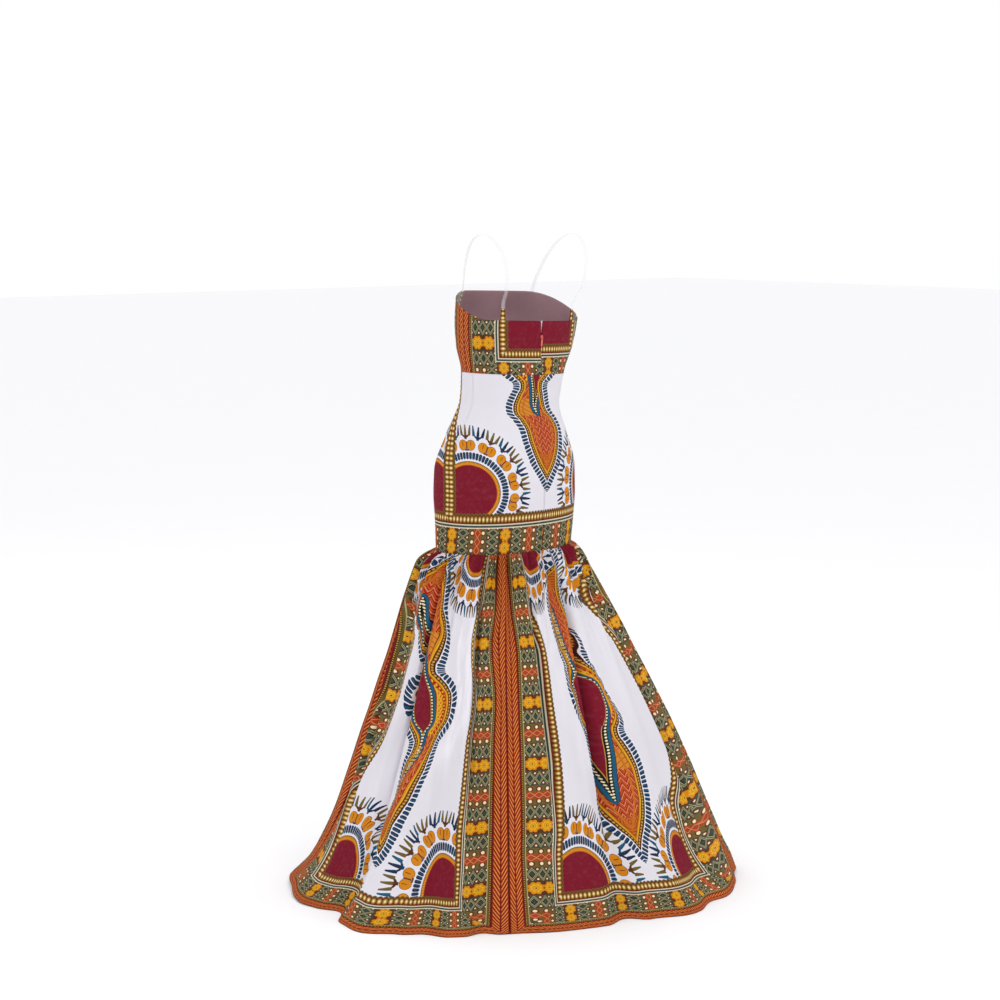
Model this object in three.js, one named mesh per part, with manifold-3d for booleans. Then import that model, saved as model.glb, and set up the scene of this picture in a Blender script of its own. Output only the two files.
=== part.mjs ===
// Strapless trumpet maxi dress in a printed cotton, with clear shoulder straps and a back zip.
// Millimetres. +Z is up, the front faces -Y and the wearer's left is +X.
// The origin is the middle of the bodice's top opening, level with the top edge of the back.
import * as THREE from 'three';
import { mergeVertices } from 'three/addons/utils/BufferGeometryUtils.js';
import Module from 'manifold-3d';

const manifold = await Module();
manifold.setup();

// Cloth
const CLOTH = 1.5;
const SEAM_GAP = 0.3;

// Heights of the seams and edges
const FRONT_RISE = { height: 62, from: 48, to: 150 };
const WAIST_SEAM = -122;
const FLOUNCE_SEAM = -523;
const FLOOR = -1310;

// Rows of faces down the two fitted parts
const BODICE_ROWS = 7;
const SKIRT_ROWS = 12;

// Centre back zip: its slider stands a little below the top, so that white tape shows above it
const ZIP = { sliderTop: -32, openGap: 5, meet: 0.6, tapeWidth: 7, tape: 1, behind: 0.7, skirtRows: 9 };
const SLIDER = { width: 5.5, height: 9, thick: 1.4, lift: 0.35, corner: 1.5 };
const EAR = { inside: 1.4, thick: 1, tall: 3, out: 2.6, corner: 0.2, rooted: 0.3 };
const PULL = {
  width: 4.6, length: 19, thick: 1, above: 0.6, neckWidth: 2.2, neck: 3, axisOut: 3.1, axisZ: -1.5,
};

// Cloth tabs on the back edge and the clear straps that run from them over the shoulders to the front
const TAB = { fromCentre: 37, width: 15, height: 26, taper: 0.35 };
const STRAP = { width: 8, thick: 1, sewn: 0.6, lead: 12, frontFromCentre: 142, rows: 28 };
// Where a strap leaves the line of its tab, lies level over the shoulder and takes the line of the front
const STRAP_TWIST = { leaves: 0.06, level: 0.4, turns: 0.6, meets: 0.94 };
const STRAP_ROUTE = [
  { z: 80, across: 101, back: 110 },
  { z: 140, across: 109, back: 112 },
  { z: 182, across: 118, back: 78 },
  { z: 194, across: 120, back: 34 },
  { z: 176, across: 116, back: -18 },
  { z: 128, across: 106, back: -62 },
];

// Angles round the body, degrees from +X towards the back
const CENTRE_BACK = 90;
const RIGHT_SIDE = 177;
const LEFT_SIDE = 3;
const SEAM_ANGLE = 0.075;

// Level sections of the fitted part. The turn is about +Z, the tilt is the drop per mm towards -X.
const SECTIONS = [
  { z: 70, halfWidth: 150, back: 102, front: 112, shiftX: -14, shiftY: 26, turn: -8, tilt: 0.03 },
  { z: 0, halfWidth: 147, back: 104, front: 122, shiftX: -12, shiftY: 22, turn: -8, tilt: 0.03 },
  { z: -60, halfWidth: 141, back: 101, front: 118, shiftX: -10, shiftY: 18, turn: -5, tilt: 0.03 },
  { z: -122, halfWidth: 127, back: 98, front: 100, shiftX: -8, shiftY: 11, turn: 1, tilt: 0.035 },
  { z: -185, halfWidth: 125, back: 99, front: 98, shiftX: -4, shiftY: 4, turn: 5, tilt: 0.03 },
  { z: -260, halfWidth: 156, back: 118, front: 106, shiftX: 4, shiftY: -1, turn: 5, tilt: 0 },
  { z: -340, halfWidth: 186, back: 134, front: 112, shiftX: 10, shiftY: -2, turn: 4, tilt: 0 },
  { z: -395, halfWidth: 188, back: 136, front: 112, shiftX: 10, shiftY: -2, turn: 4, tilt: 0 },
  { z: -451, halfWidth: 185, back: 132, front: 110, shiftX: 10, shiftY: -2, turn: 4, tilt: 0 },
  { z: -523, halfWidth: 181, back: 126, front: 108, shiftX: 11, shiftY: -3, turn: 4, tilt: 0 },
];
const SQUARENESS = 2.15;

// Bust cups on the front, each a soft mound
const CUP = { angle: 27, halfWidth: 30, middle: 6, reach: 78, depth: 15 };

// Flounce: four gathered panels, the first joint faces the back left
const PANELS = 4;
const FIRST_JOINT = 58;
const GATHERS = 26;
const GATHER_DEPTH = 8;
// What makes the gathers uneven, in waves round the dress
const UNEVEN = [
  { waves: 5, phase: 0, amount: 0.22 },
  { waves: 11, phase: 1, amount: 0.16 },
];
// Gathers start at the seam, are deepest just under it and then fade.
// Part of the panel's length, part of the depth.
const GATHER_FADE = [
  { along: 0, depth: 0.16 },
  { along: 0.02, depth: 0.7 },
  { along: 0.05, depth: 1 },
  { along: 0.1, depth: 0.8 },
  { along: 0.2, depth: 0.35 },
  { along: 0.34, depth: 0 },
  { along: 1, depth: 0 },
];
// How far the panel has gone out and down. Part of its length, part of the flare, part of the drop.
const FALL = [
  { along: 0, flare: 0, drop: 0 },
  { along: 0.03, flare: 0.045, drop: 0.022 },
  { along: 0.08, flare: 0.1, drop: 0.07 },
  { along: 0.2, flare: 0.225, drop: 0.193 },
  { along: 0.5, flare: 0.51, drop: 0.5 },
  { along: 0.9, flare: 0.9, drop: 0.93 },
  { along: 1, flare: 1, drop: 1 },
];
// The hem on the floor. Cloth place in panels from the first joint, where it lies, how far it lifts
// and how far the cloth above it bellies out.
const HEM = [
  { place: 0, x: 283, y: 348, lift: 0, belly: 0 },
  { place: 0.16, x: 179, y: 410, lift: 0, belly: 0 },
  { place: 0.35, x: 42, y: 455, lift: 0, belly: 0 },
  { place: 0.5, x: -60, y: 481, lift: 0, belly: 2 },
  { place: 0.62, x: -149, y: 497, lift: 0, belly: 6 },
  { place: 0.8, x: -283, y: 460, lift: 0, belly: 14 },
  { place: 0.94, x: -362, y: 402, lift: 2, belly: 22 },
  { place: 1, x: -398, y: 366, lift: 6, belly: 25 },
  { place: 1.12, x: -446, y: 312, lift: 8, belly: 27 },
  { place: 1.3, x: -458, y: 189, lift: 4, belly: 20 },
  { place: 1.5, x: -427, y: 50, lift: 0, belly: 8 },
  { place: 1.75, x: -335, y: -104, lift: 0, belly: 0 },
  { place: 2, x: -205, y: -231, lift: 0, belly: 0 },
  { place: 2.25, x: -48, y: -328, lift: 0, belly: 0 },
  { place: 2.5, x: 123, y: -380, lift: 0, belly: 0 },
  { place: 2.7, x: 270, y: -380, lift: 0, belly: -10 },
  { place: 2.88, x: 384, y: -328, lift: 2, belly: -20 },
  { place: 3, x: 448, y: -257, lift: 8, belly: -28 },
  { place: 3.06, x: 472, y: -216, lift: 11, belly: -30 },
  { place: 3.17, x: 503, y: -143, lift: 4, belly: -32 },
  { place: 3.33, x: 507, y: -26, lift: 0, belly: -30 },
  { place: 3.49, x: 526, y: 90, lift: 0, belly: -22 },
  { place: 3.63, x: 482, y: 178, lift: 0, belly: -12 },
  { place: 3.81, x: 404, y: 276, lift: 0, belly: 0 },
];
// How much of the belly a place down the panel has. Part of its length, part of the belly.
const BELLY = [
  { along: 0, out: 0 },
  { along: 0.05, out: -0.3 },
  { along: 0.14, out: -0.1 },
  { along: 0.3, out: 0.35 },
  { along: 0.75, out: 1 },
  { along: 0.9, out: 0.7 },
  { along: 1, out: 0 },
];
const LIFT_FROM = 0.8;
const FOLD_RISE = 0.7;
// Steps over which the way round a ring is measured, in panels
const STEP = { seam: 0.02, hem: 0.1 };
// Soft folds that run down the flounce: where each leaves the seam and meets the hem, in panels,
// its half width in panels, its depth at the hem and how far down it starts.
const FOLDS = [
  { top: -0.07, hem: -0.08, halfWidth: 0.055, depth: -16, from: 0.05 },
  { top: 0.45, hem: 0.37, halfWidth: 0.075, depth: -26, from: 0.03 },
  { top: 0.6, hem: 0.56, halfWidth: 0.11, depth: 12, from: 0.2 },
  { top: 0.72, hem: 0.7, halfWidth: 0.08, depth: -14, from: 0.12 },
  { top: 1.2, hem: 1.22, halfWidth: 0.13, depth: -24, from: 0.1 },
  { top: 1.62, hem: 1.6, halfWidth: 0.14, depth: -30, from: 0.15 },
  { top: 1.98, hem: 2, halfWidth: 0.12, depth: -22, from: 0.08 },
  { top: 2.4, hem: 2.38, halfWidth: 0.14, depth: -30, from: 0.12 },
  { top: 2.76, hem: 2.78, halfWidth: 0.12, depth: -24, from: 0.2 },
  { top: 3.22, hem: 3.2, halfWidth: 0.09, depth: 8, from: 0.25 },
  { top: 3.48, hem: 3.35, halfWidth: 0.08, depth: -28, from: 0.03 },
  { top: 3.62, hem: 3.56, halfWidth: 0.1, depth: 14, from: 0.2 },
  { top: 3.74, hem: 3.74, halfWidth: 0.08, depth: -14, from: 0.15 },
];

const radians = THREE.MathUtils.degToRad;
const smooth = THREE.MathUtils.smoothstep;

// Smooth step from one value to another with a slope at each end
function hermite(t, from, to, startSlope, endSlope) {
  const [t2, t3] = [t * t, t * t * t];
  return (2 * t3 - 3 * t2 + 1) * from + (t3 - 2 * t2 + t) * startSlope
    + (3 * t2 - 2 * t3) * to + (t3 - t2) * endSlope;
}

// Smooth value of one column of a table at a place, without overshoot
function between(rows, key, value, at) {
  const last = rows.length - 1;
  const slope = (i) => (rows[i + 1][value] - rows[i][value]) / (rows[i + 1][key] - rows[i][key]);
  const tangent = (i) => {
    if (i === 0 || i === last) return slope(Math.min(i, last - 1));
    const before = slope(i - 1);
    const after = slope(i);
    return before * after > 0 ? (2 * before * after) / (before + after) : 0;
  };
  let i = 0;
  while (i < last - 1 && at > rows[i + 1][key]) i += 1;
  const span = rows[i + 1][key] - rows[i][key];
  const t = THREE.MathUtils.clamp((at - rows[i][key]) / span, 0, 1);
  return hermite(t, rows[i][value], rows[i + 1][value], span * tangent(i), span * tangent(i + 1));
}

const RISING = [...SECTIONS].reverse();
const section = (name, z) => between(RISING, 'z', name, z);

// A bump of height 1 that is level at its middle and its rim
function mound(distance, halfWidth) {
  const t = Math.min(1, Math.abs(distance) / halfWidth);
  return (1 + Math.cos(Math.PI * t)) / 2;
}

function power(value) {
  return Math.sign(value) * Math.abs(value) ** (2 / SQUARENESS);
}

// Turns a point given from the middle of the body into its place in the dress
function placed(across, back, z) {
  const turn = radians(section('turn', z));
  const x = section('shiftX', z) + across * Math.cos(turn) - back * Math.sin(turn);
  const y = section('shiftY', z) + across * Math.sin(turn) + back * Math.cos(turn);
  return new THREE.Vector3(x, y, z + section('tilt', z) * x);
}

// A point of a strap, above the top section, turned with it
function placedStrap(across, back, z) {
  return placed(across, back, SECTIONS[0].z).setZ(z);
}

// Outer face of the fitted part
function bodyPoint(angle, z) {
  const a = radians(angle);
  const depth = Math.sin(a) > 0 ? section('back', z) : section('front', z);
  const sideways = Math.abs(Math.abs(((angle % 360) + 360) % 360 - 270) - CUP.angle);
  const cup = CUP.depth * mound(sideways, CUP.halfWidth) * mound(z - CUP.middle, CUP.reach);
  const across = section('halfWidth', z) * power(Math.cos(a));
  const back = depth * power(Math.sin(a));
  return placed(across, back - cup, z);
}

// Top edge: level across the back, rising under the arms to the front
function topEdge(angle) {
  const fromBack = Math.abs(((angle - CENTRE_BACK + 540) % 360) - 180);
  return FRONT_RISE.height * smooth(fromBack, FRONT_RISE.from, FRONT_RISE.to);
}

// A value of the hem's table at a place, smooth all the way round
function hemValue(name, place) {
  const at = ((place % PANELS) + PANELS) % PANELS;
  const row = (i) => {
    const lap = Math.floor(i / HEM.length);
    const found = HEM[i - lap * HEM.length];
    return [found.place + lap * PANELS, found[name]];
  };
  let i = 0;
  while (at > row(i + 1)[0]) i += 1;
  const [before, from, to, after] = [row(i - 1), row(i), row(i + 1), row(i + 2)];
  const span = to[0] - from[0];
  const start = (span * (to[1] - before[1])) / (to[0] - before[0]);
  const end = (span * (after[1] - from[1])) / (after[0] - from[0]);
  return hermite((at - from[0]) / span, from[1], to[1], start, end);
}

// How many gathers lie between the first joint and a place
function gathersTo(place) {
  const turn = (2 * Math.PI * place) / PANELS;
  return UNEVEN.reduce((sum, row) => sum + row.amount * Math.sin(row.waves * turn + row.phase),
    (GATHERS * place) / PANELS);
}

// How far the soft folds push the cloth out at a place
function foldDepth(place, along) {
  let depth = 0;
  for (const fold of FOLDS) {
    const middle = fold.top + (fold.hem - fold.top) * along;
    const apart = ((((place - middle + 2) % PANELS) + PANELS) % PANELS) - 2;
    depth += fold.depth * mound(apart, fold.halfWidth) * smooth(along, fold.from, 1) ** FOLD_RISE;
  }
  return depth;
}

// Level direction out of a closed curve at a place
function outOf(curve, place, step) {
  const way = curve(place + step).sub(curve(place - step)).setZ(0).normalize();
  return new THREE.Vector3(way.y, -way.x, 0);
}

const topRing = (place) => bodyPoint(FIRST_JOINT + (360 / PANELS) * place, FLOUNCE_SEAM);
const hemRing = (place) => new THREE.Vector3(hemValue('x', place), hemValue('y', place), FLOOR);

// Outer face of the flounce, place in panels from the first joint, along from seam 0 to hem 1
function flouncePoint(place, along) {
  const down = THREE.MathUtils.clamp(along, 0, 1);
  const [top, hem] = [topRing(place), hemRing(place)];
  const flare = between(FALL, 'along', 'flare', down);
  const drop = between(FALL, 'along', 'drop', down);
  const lift = hemValue('lift', place) * smooth(down, LIFT_FROM, 1);
  const gather = GATHER_DEPTH * between(GATHER_FADE, 'along', 'depth', down)
    * Math.cos(2 * Math.PI * gathersTo(place));
  const point = new THREE.Vector3(top.x + (hem.x - top.x) * flare, top.y + (hem.y - top.y) * flare,
    top.z + (FLOOR - top.z) * drop - SEAM_GAP * (1 - drop) + lift);
  const swell = outOf(topRing, place, STEP.seam).multiplyScalar(gather);
  const belly = hemValue('belly', place) * between(BELLY, 'along', 'out', down);
  const fold = outOf(hemRing, place, STEP.hem).multiplyScalar(foldDepth(place, down) + belly);
  return point.add(swell).add(fold);
}

function material(color, roughness, metalness = 0) {
  return new THREE.MeshStandardMaterial({ color, roughness, metalness });
}

const MATERIALS = {
  print: material(0xb9762f, 0.85),
  white: material(0xece8f0, 0.85),
  chain: material(0x96732f, 0.85),
  clear: material(0xe8ecf0, 0.2),
  tape: material(0xf0eeee, 0.8),
  zip: material(0xc25048, 0.45),
};

// Closed body from two grids of points, the outer and inner faces of a wall
function wallMesh(name, outer, inner, finish) {
  const rows = outer.length - 1;
  const columns = outer[0].length - 1;
  const wide = columns + 1;
  const points = [...outer.flat(), ...inner.flat()];
  const back = (rows + 1) * wide;
  const index = [];
  const quad = (a, b, c, d) => index.push(a, b, c, a, c, d);
  for (let j = 0; j < rows; j += 1) {
    for (let i = 0; i < columns; i += 1) {
      const a = j * wide + i;
      quad(a, a + wide, a + wide + 1, a + 1);
      quad(back + a, back + a + 1, back + a + wide + 1, back + a + wide);
    }
  }
  for (let i = 0; i < columns; i += 1) {
    const end = rows * wide + i;
    quad(i, i + 1, back + i + 1, back + i);
    quad(end + 1, end, back + end, back + end + 1);
  }
  for (let j = 0; j < rows; j += 1) {
    const a = j * wide;
    const b = a + columns;
    quad(a + wide, a, back + a, back + a + wide);
    quad(b, b + wide, back + b + wide, back + b);
  }
  const geometry = new THREE.BufferGeometry();
  const numbers = points.flatMap((p) => p.toArray());
  geometry.setAttribute('position', new THREE.Float32BufferAttribute(numbers, 3));
  geometry.setIndex(index);
  geometry.computeVertexNormals();
  const mesh = new THREE.Mesh(geometry, MATERIALS[finish]);
  mesh.name = name;
  return mesh;
}

// Outward normal of a face given as a function of a place across and a place down
function outward(face, across, down) {
  const step = 1e-3;
  const along = face(across + step, down).sub(face(across - step, down));
  const fall = face(across, down + step).sub(face(across, down - step));
  return fall.cross(along).normalize();
}

// A panel of cloth made from its face, with its outside sunk below that face where it lies behind another
function clothPanel(name, finish, face, columns, rows, thickness = CLOTH, sunk = 0) {
  const layer = (depth) => rows.map((down) => columns.map((across) => (
    face(across, down).addScaledVector(outward(face, across, down), -depth))));
  return wallMesh(name, layer(sunk), layer(sunk + thickness), finish);
}

function spread(from, to, count) {
  return Array.from({ length: count + 1 }, (_, i) => from + ((to - from) * i) / count);
}

// Angle that lies a few millimetres from a seam, on a section that reaches so far there
function besideSeam(distance, reach) {
  return THREE.MathUtils.radToDeg(Math.asin((distance / reach) ** (SQUARENESS / 2)));
}

// Half of the gap between the two backs: open above the slider, closed below it
function zipHalfGap(z) {
  const open = Math.max(0, (z - ZIP.sliderTop) / -ZIP.sliderTop);
  return SEAM_GAP / 2 + (ZIP.openGap / 2 - SEAM_GAP / 2) * Math.min(1, open);
}

const backGap = (z) => besideSeam(zipHalfGap(z), section('halfWidth', z));

// The three pieces round the body, as the angles of their two edges at a height
const ROUND = {
  back_left: { from: () => LEFT_SIDE + SEAM_ANGLE, to: (z) => CENTRE_BACK - backGap(z), columns: 9 },
  back_right: { from: (z) => CENTRE_BACK + backGap(z), to: () => RIGHT_SIDE - SEAM_ANGLE, columns: 9 },
  front: { from: () => RIGHT_SIDE + SEAM_ANGLE, to: () => 360 + LEFT_SIDE - SEAM_ANGLE, columns: 20 },
};

// Face of one piece between a top edge and a seam
function fittedFace(piece, topAt, bottom) {
  return (across, down) => {
    let angle = piece.from(bottom) + (piece.to(bottom) - piece.from(bottom)) * across;
    const z = topAt(angle) + (bottom - topAt(angle)) * down;
    angle = piece.from(z) + (piece.to(z) - piece.from(z)) * across;
    return bodyPoint(angle, z);
  };
}

const dress = new THREE.Group();

for (const [side, piece] of Object.entries(ROUND)) {
  const columns = spread(0, 1, piece.columns);
  const bodice = fittedFace(piece, topEdge, WAIST_SEAM + SEAM_GAP / 2);
  dress.add(clothPanel(`bodice_${side}`, 'print', bodice, columns, spread(0, 1, BODICE_ROWS)));
  const skirt = fittedFace(piece, () => WAIST_SEAM - SEAM_GAP / 2, FLOUNCE_SEAM + SEAM_GAP / 2);
  dress.add(clothPanel(`skirt_${side}`, 'white', skirt, columns, spread(0, 1, SKIRT_ROWS)));
}

// Flounce panels, closest rows where the gathers puff out
const FLOUNCE_ROWS = [0, 0.018, 0.045, 0.085, 0.15, 0.25, 0.42, 0.68, 0.9, 1];
const FLOUNCE_COLUMNS = 39;
const JOINT_GAP = 0.0006;
['back', 'right', 'front', 'left'].forEach((side, i) => {
  const face = (across, down) => flouncePoint(i + JOINT_GAP + (1 - 2 * JOINT_GAP) * across, down);
  dress.add(clothPanel(`flounce_${side}`, 'print', face, spread(0, 1, FLOUNCE_COLUMNS), FLOUNCE_ROWS));
});

// Zip tapes behind the two backs, with their rows on the rows of the cloth
const bodiceHeights = spread(0, WAIST_SEAM, BODICE_ROWS);
const skirtHeights = spread(WAIST_SEAM, FLOUNCE_SEAM, SKIRT_ROWS).slice(1, ZIP.skirtRows + 1);
const zipHeights = [...bodiceHeights, ...skirtHeights];
function tapeFace(side) {
  return (across, down) => {
    const z = zipHeights[0] + (zipHeights[zipHeights.length - 1] - zipHeights[0]) * down;
    const from = besideSeam(ZIP.meet / 2, section('halfWidth', z));
    const to = besideSeam(ZIP.meet / 2 + ZIP.tapeWidth, section('halfWidth', z));
    const offset = side > 0 ? from + (to - from) * across : -to + (to - from) * across;
    return bodyPoint(CENTRE_BACK + offset, z);
  };
}
const zipLength = zipHeights[0] - zipHeights[zipHeights.length - 1];
const tapeRows = zipHeights.map((z) => (zipHeights[0] - z) / zipLength);
for (const [side, sign] of [['left', -1], ['right', 1]]) {
  const behind = CLOTH + ZIP.behind;
  dress.add(clothPanel(`zip_tape_${side}`, 'tape', tapeFace(sign), [0, 1], tapeRows, ZIP.tape, behind));
}

// Slider and pull tab in their own frame on the centre back: x across, y outwards, z up
const sliderFrame = new THREE.Group();
const sliderZ = ZIP.sliderTop - SLIDER.height / 2;
const backLine = (across, down) => bodyPoint(CENTRE_BACK + across, sliderZ - down);
const out = outward(backLine, 0, 0);
const backTurn = radians(section('turn', sliderZ));
const acrossBack = new THREE.Vector3(Math.cos(backTurn), Math.sin(backTurn), 0);
const upBack = new THREE.Vector3().crossVectors(acrossBack, out).normalize();
const outBack = new THREE.Vector3().crossVectors(upBack, acrossBack);
sliderFrame.quaternion.setFromRotationMatrix(new THREE.Matrix4().makeBasis(acrossBack, outBack, upBack));
sliderFrame.position.copy(backLine(0, 0));
dress.add(sliderFrame);

// A closed body from an outline in x and z, between two depths in y
function plate(outline, near, far) {
  const depth = far - near;
  const geometry = new THREE.ExtrudeGeometry(outline, { depth, bevelEnabled: false, curveSegments: 6 });
  geometry.rotateX(Math.PI / 2);
  geometry.translate(0, far, 0);
  return geometry;
}

// Rectangle with its corners cut, from its left, right, bottom and top
function cutRectangle(left, right, bottom, top, corner) {
  const outline = new THREE.Shape();
  outline.moveTo(left + corner, bottom);
  outline.lineTo(right - corner, bottom);
  outline.lineTo(right, bottom + corner);
  outline.lineTo(right, top - corner);
  outline.lineTo(right - corner, top);
  outline.lineTo(left + corner, top);
  outline.lineTo(left, top - corner);
  outline.lineTo(left, bottom + corner);
  outline.closePath();
  return outline;
}

// One closed body from several that overlap
function joined(geometries) {
  const solids = geometries.map((geometry) => {
    const bare = geometry.clone();
    bare.deleteAttribute('normal');
    bare.deleteAttribute('uv');
    const merged = mergeVertices(bare, 1e-4);
    return new manifold.Manifold(new manifold.Mesh({
      numProp: 3,
      vertProperties: new Float32Array(merged.attributes.position.array),
      triVerts: new Uint32Array(merged.index.array),
    }));
  });
  const result = solids.reduce((whole, solid) => whole.add(solid)).getMesh();
  const geometry = new THREE.BufferGeometry();
  geometry.setAttribute('position', new THREE.Float32BufferAttribute(result.vertProperties, 3));
  geometry.setIndex([...result.triVerts]);
  geometry.computeVertexNormals();
  return geometry;
}

// The slider is a plate on the closed zip, with two ears that hold the pull tab
function sliderGeometry() {
  const half = SLIDER.width / 2;
  const face = SLIDER.lift + SLIDER.thick;
  const body = cutRectangle(-half, half, -SLIDER.height / 2, SLIDER.height / 2, SLIDER.corner);
  const ears = [-1, 1].map((side) => {
    const middle = side * (EAR.inside + EAR.thick / 2);
    const ear = cutRectangle(middle - EAR.thick / 2, middle + EAR.thick / 2,
      PULL.axisZ - EAR.tall / 2, PULL.axisZ + EAR.tall / 2, EAR.corner);
    return plate(ear, face - EAR.rooted, face + EAR.out);
  });
  return joined([plate(body, SLIDER.lift, face), ...ears]);
}

// The pull tab hangs from its neck between the ears and rounds off at its end
function pullGeometry() {
  const neck = PULL.neckWidth / 2;
  const half = PULL.width / 2;
  const end = -PULL.length + half;
  const outline = new THREE.Shape();
  outline.moveTo(neck, PULL.above);
  outline.lineTo(-neck, PULL.above);
  outline.lineTo(-neck, -PULL.neck);
  outline.lineTo(-half, -PULL.neck - half);
  outline.lineTo(-half, end);
  outline.absarc(0, end, half, Math.PI, 2 * Math.PI, false);
  outline.lineTo(half, -PULL.neck - half);
  outline.lineTo(neck, -PULL.neck);
  outline.closePath();
  const geometry = plate(outline, -PULL.thick / 2, PULL.thick / 2);
  const tab = mergeVertices(joined([geometry]), 1e-4);
  tab.translate(0, PULL.axisOut, PULL.axisZ);
  return tab;
}

function zipPiece(name, geometry) {
  const mesh = new THREE.Mesh(geometry, MATERIALS.zip);
  mesh.name = name;
  sliderFrame.add(mesh);
}
zipPiece('zip_slider', sliderGeometry());
zipPiece('zip_pull', pullGeometry());

// Cloth tabs stand up from the back's top edge, and a clear strap runs from each one over the shoulder.
// A strap is sewn to the upper edge of its tab and of the front, in the middle of the cloth.
function strapEnd(angle, z) {
  const face = (across, down) => bodyPoint(angle + across, z - down);
  return face(0, 0).addScaledVector(outward(face, 0, 0), -(CLOTH - STRAP.thick) / 2);
}

// Level direction along the cloth at an angle, towards the wearer's left
function alongCloth(angle, z) {
  const step = bodyPoint(angle + 1, z).sub(bodyPoint(angle - 1, z)).setZ(0).normalize();
  return step.x < 0 ? step.negate() : step;
}

for (const [side, sign] of [['left', 1], ['right', -1]]) {
  const tabAngle = CENTRE_BACK - sign * TAB.fromCentre;
  const tabFace = (across, down) => {
    const z = SEAM_GAP + (TAB.height - SEAM_GAP) * (1 - down);
    const half = (TAB.width / 2) * (1 - TAB.taper * (1 - down));
    const spreadAngle = THREE.MathUtils.radToDeg(half / section('halfWidth', z));
    return bodyPoint(tabAngle + spreadAngle * (2 * across - 1), z);
  };
  dress.add(clothPanel(`strap_tab_${side}`, 'chain', tabFace, spread(0, 1, 2), spread(0, 1, 3)));

  const frontAngle = CENTRE_BACK - sign * STRAP.frontFromCentre;
  const route = new THREE.CatmullRomCurve3([
    strapEnd(tabAngle, TAB.height + STRAP.sewn),
    strapEnd(tabAngle, TAB.height + STRAP.lead),
    ...STRAP_ROUTE.map((row) => placedStrap(sign * row.across, row.back, row.z)),
    strapEnd(frontAngle, topEdge(frontAngle) + STRAP.lead),
    strapEnd(frontAngle, topEdge(frontAngle) + STRAP.sewn),
  ], false, 'centripetal');
  const atTab = alongCloth(tabAngle, TAB.height);
  const atFront = alongCloth(frontAngle, topEdge(frontAngle));
  const strapFace = (across, down) => {
    const t = THREE.MathUtils.clamp(down, 0, 1);
    const flat = atTab.clone().lerp(acrossBack, smooth(t, STRAP_TWIST.leaves, STRAP_TWIST.level))
      .lerp(atFront, smooth(t, STRAP_TWIST.turns, STRAP_TWIST.meets));
    return route.getPointAt(t).addScaledVector(flat.normalize(), STRAP.width * (across - 0.5));
  };
  const rows = spread(0, 1, STRAP.rows);
  dress.add(clothPanel(`strap_${side}`, 'clear', strapFace, [0, 1], rows, STRAP.thick));
}

export default dress;
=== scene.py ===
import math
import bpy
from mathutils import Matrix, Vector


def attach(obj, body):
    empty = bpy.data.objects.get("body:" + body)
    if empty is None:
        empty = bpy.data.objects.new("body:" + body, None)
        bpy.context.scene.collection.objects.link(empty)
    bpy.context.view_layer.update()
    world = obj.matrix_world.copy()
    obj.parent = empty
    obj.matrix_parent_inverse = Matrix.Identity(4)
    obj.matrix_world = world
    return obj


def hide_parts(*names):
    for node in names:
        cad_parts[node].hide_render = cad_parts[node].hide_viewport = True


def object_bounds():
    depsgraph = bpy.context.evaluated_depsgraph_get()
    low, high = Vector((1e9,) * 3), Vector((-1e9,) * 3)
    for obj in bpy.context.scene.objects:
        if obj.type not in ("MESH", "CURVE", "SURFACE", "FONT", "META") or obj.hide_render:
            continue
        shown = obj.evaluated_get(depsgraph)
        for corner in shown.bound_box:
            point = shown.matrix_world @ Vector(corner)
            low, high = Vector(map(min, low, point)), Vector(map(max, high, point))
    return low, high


bl_info = {
    "name": "Wax print maxi dress",
    "version": (1, 0, 0),
    "blender": (4, 5, 0),
    "location": "View3D > Sidebar > Dress",
    "description": "Makes a trumpet maxi dress with its cloth, print, zip, straps and studio",
    "category": "Object",
}

import bpy
import numpy as np
from mathutils import Matrix, Vector

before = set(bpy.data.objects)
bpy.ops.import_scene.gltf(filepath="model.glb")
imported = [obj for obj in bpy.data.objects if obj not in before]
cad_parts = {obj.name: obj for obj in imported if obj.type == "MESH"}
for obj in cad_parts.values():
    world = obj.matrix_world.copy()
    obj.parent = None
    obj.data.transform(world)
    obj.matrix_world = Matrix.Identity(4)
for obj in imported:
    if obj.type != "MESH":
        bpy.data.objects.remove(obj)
CAD_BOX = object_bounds()

# Sizes in millimetres, as the garment was cut and as its wearer fills it. The scene is in metres.
MM = 0.001
CLOTH = 1.5
SEAM_GAP = 0.3
FRONT_RISE = {"height": 62, "from": 48, "to": 150}
WAIST_SEAM = -122
FLOUNCE_SEAM = -523
FLOOR = -1310
ZIP = {"slider_top": -32, "open_gap": 5, "meet": 0.6, "tape_width": 7, "end": -422.75}
CENTRE_BACK = 90
RIGHT_SIDE = 177
LEFT_SIDE = 3
SEAM_ANGLE = 0.075
SQUARENESS = 2.15
CUP = {"angle": 27, "half_width": 30, "middle": 6, "reach": 78, "depth": 15}
TAB = {"from_centre": 37, "width": 15, "height": 26, "taper": 0.35}
STRAP = {"width": 8, "thick": 1, "length": 460, "sewn": 0.6, "lead": 12, "front_from_centre": 142}
STRAP_TWIST = {"leaves": 0.06, "level": 0.4, "turns": 0.6, "meets": 0.94}
PANELS = 4
FIRST_JOINT = 58
GATHERS = 26
GATHER_DEPTH = 8
LIFT_FROM = 0.8
FOLD_RISE = 0.7
JOINT_GAP = 0.0006
PANEL_WIDTH = 750
PANEL_LENGTH = 900
CHART = "Cloth"


def table(columns, *rows):
    """Named columns of numbers from rows of them."""
    return dict(zip(columns.split(), np.array(rows, float).T))


# The shape of the dress

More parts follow.
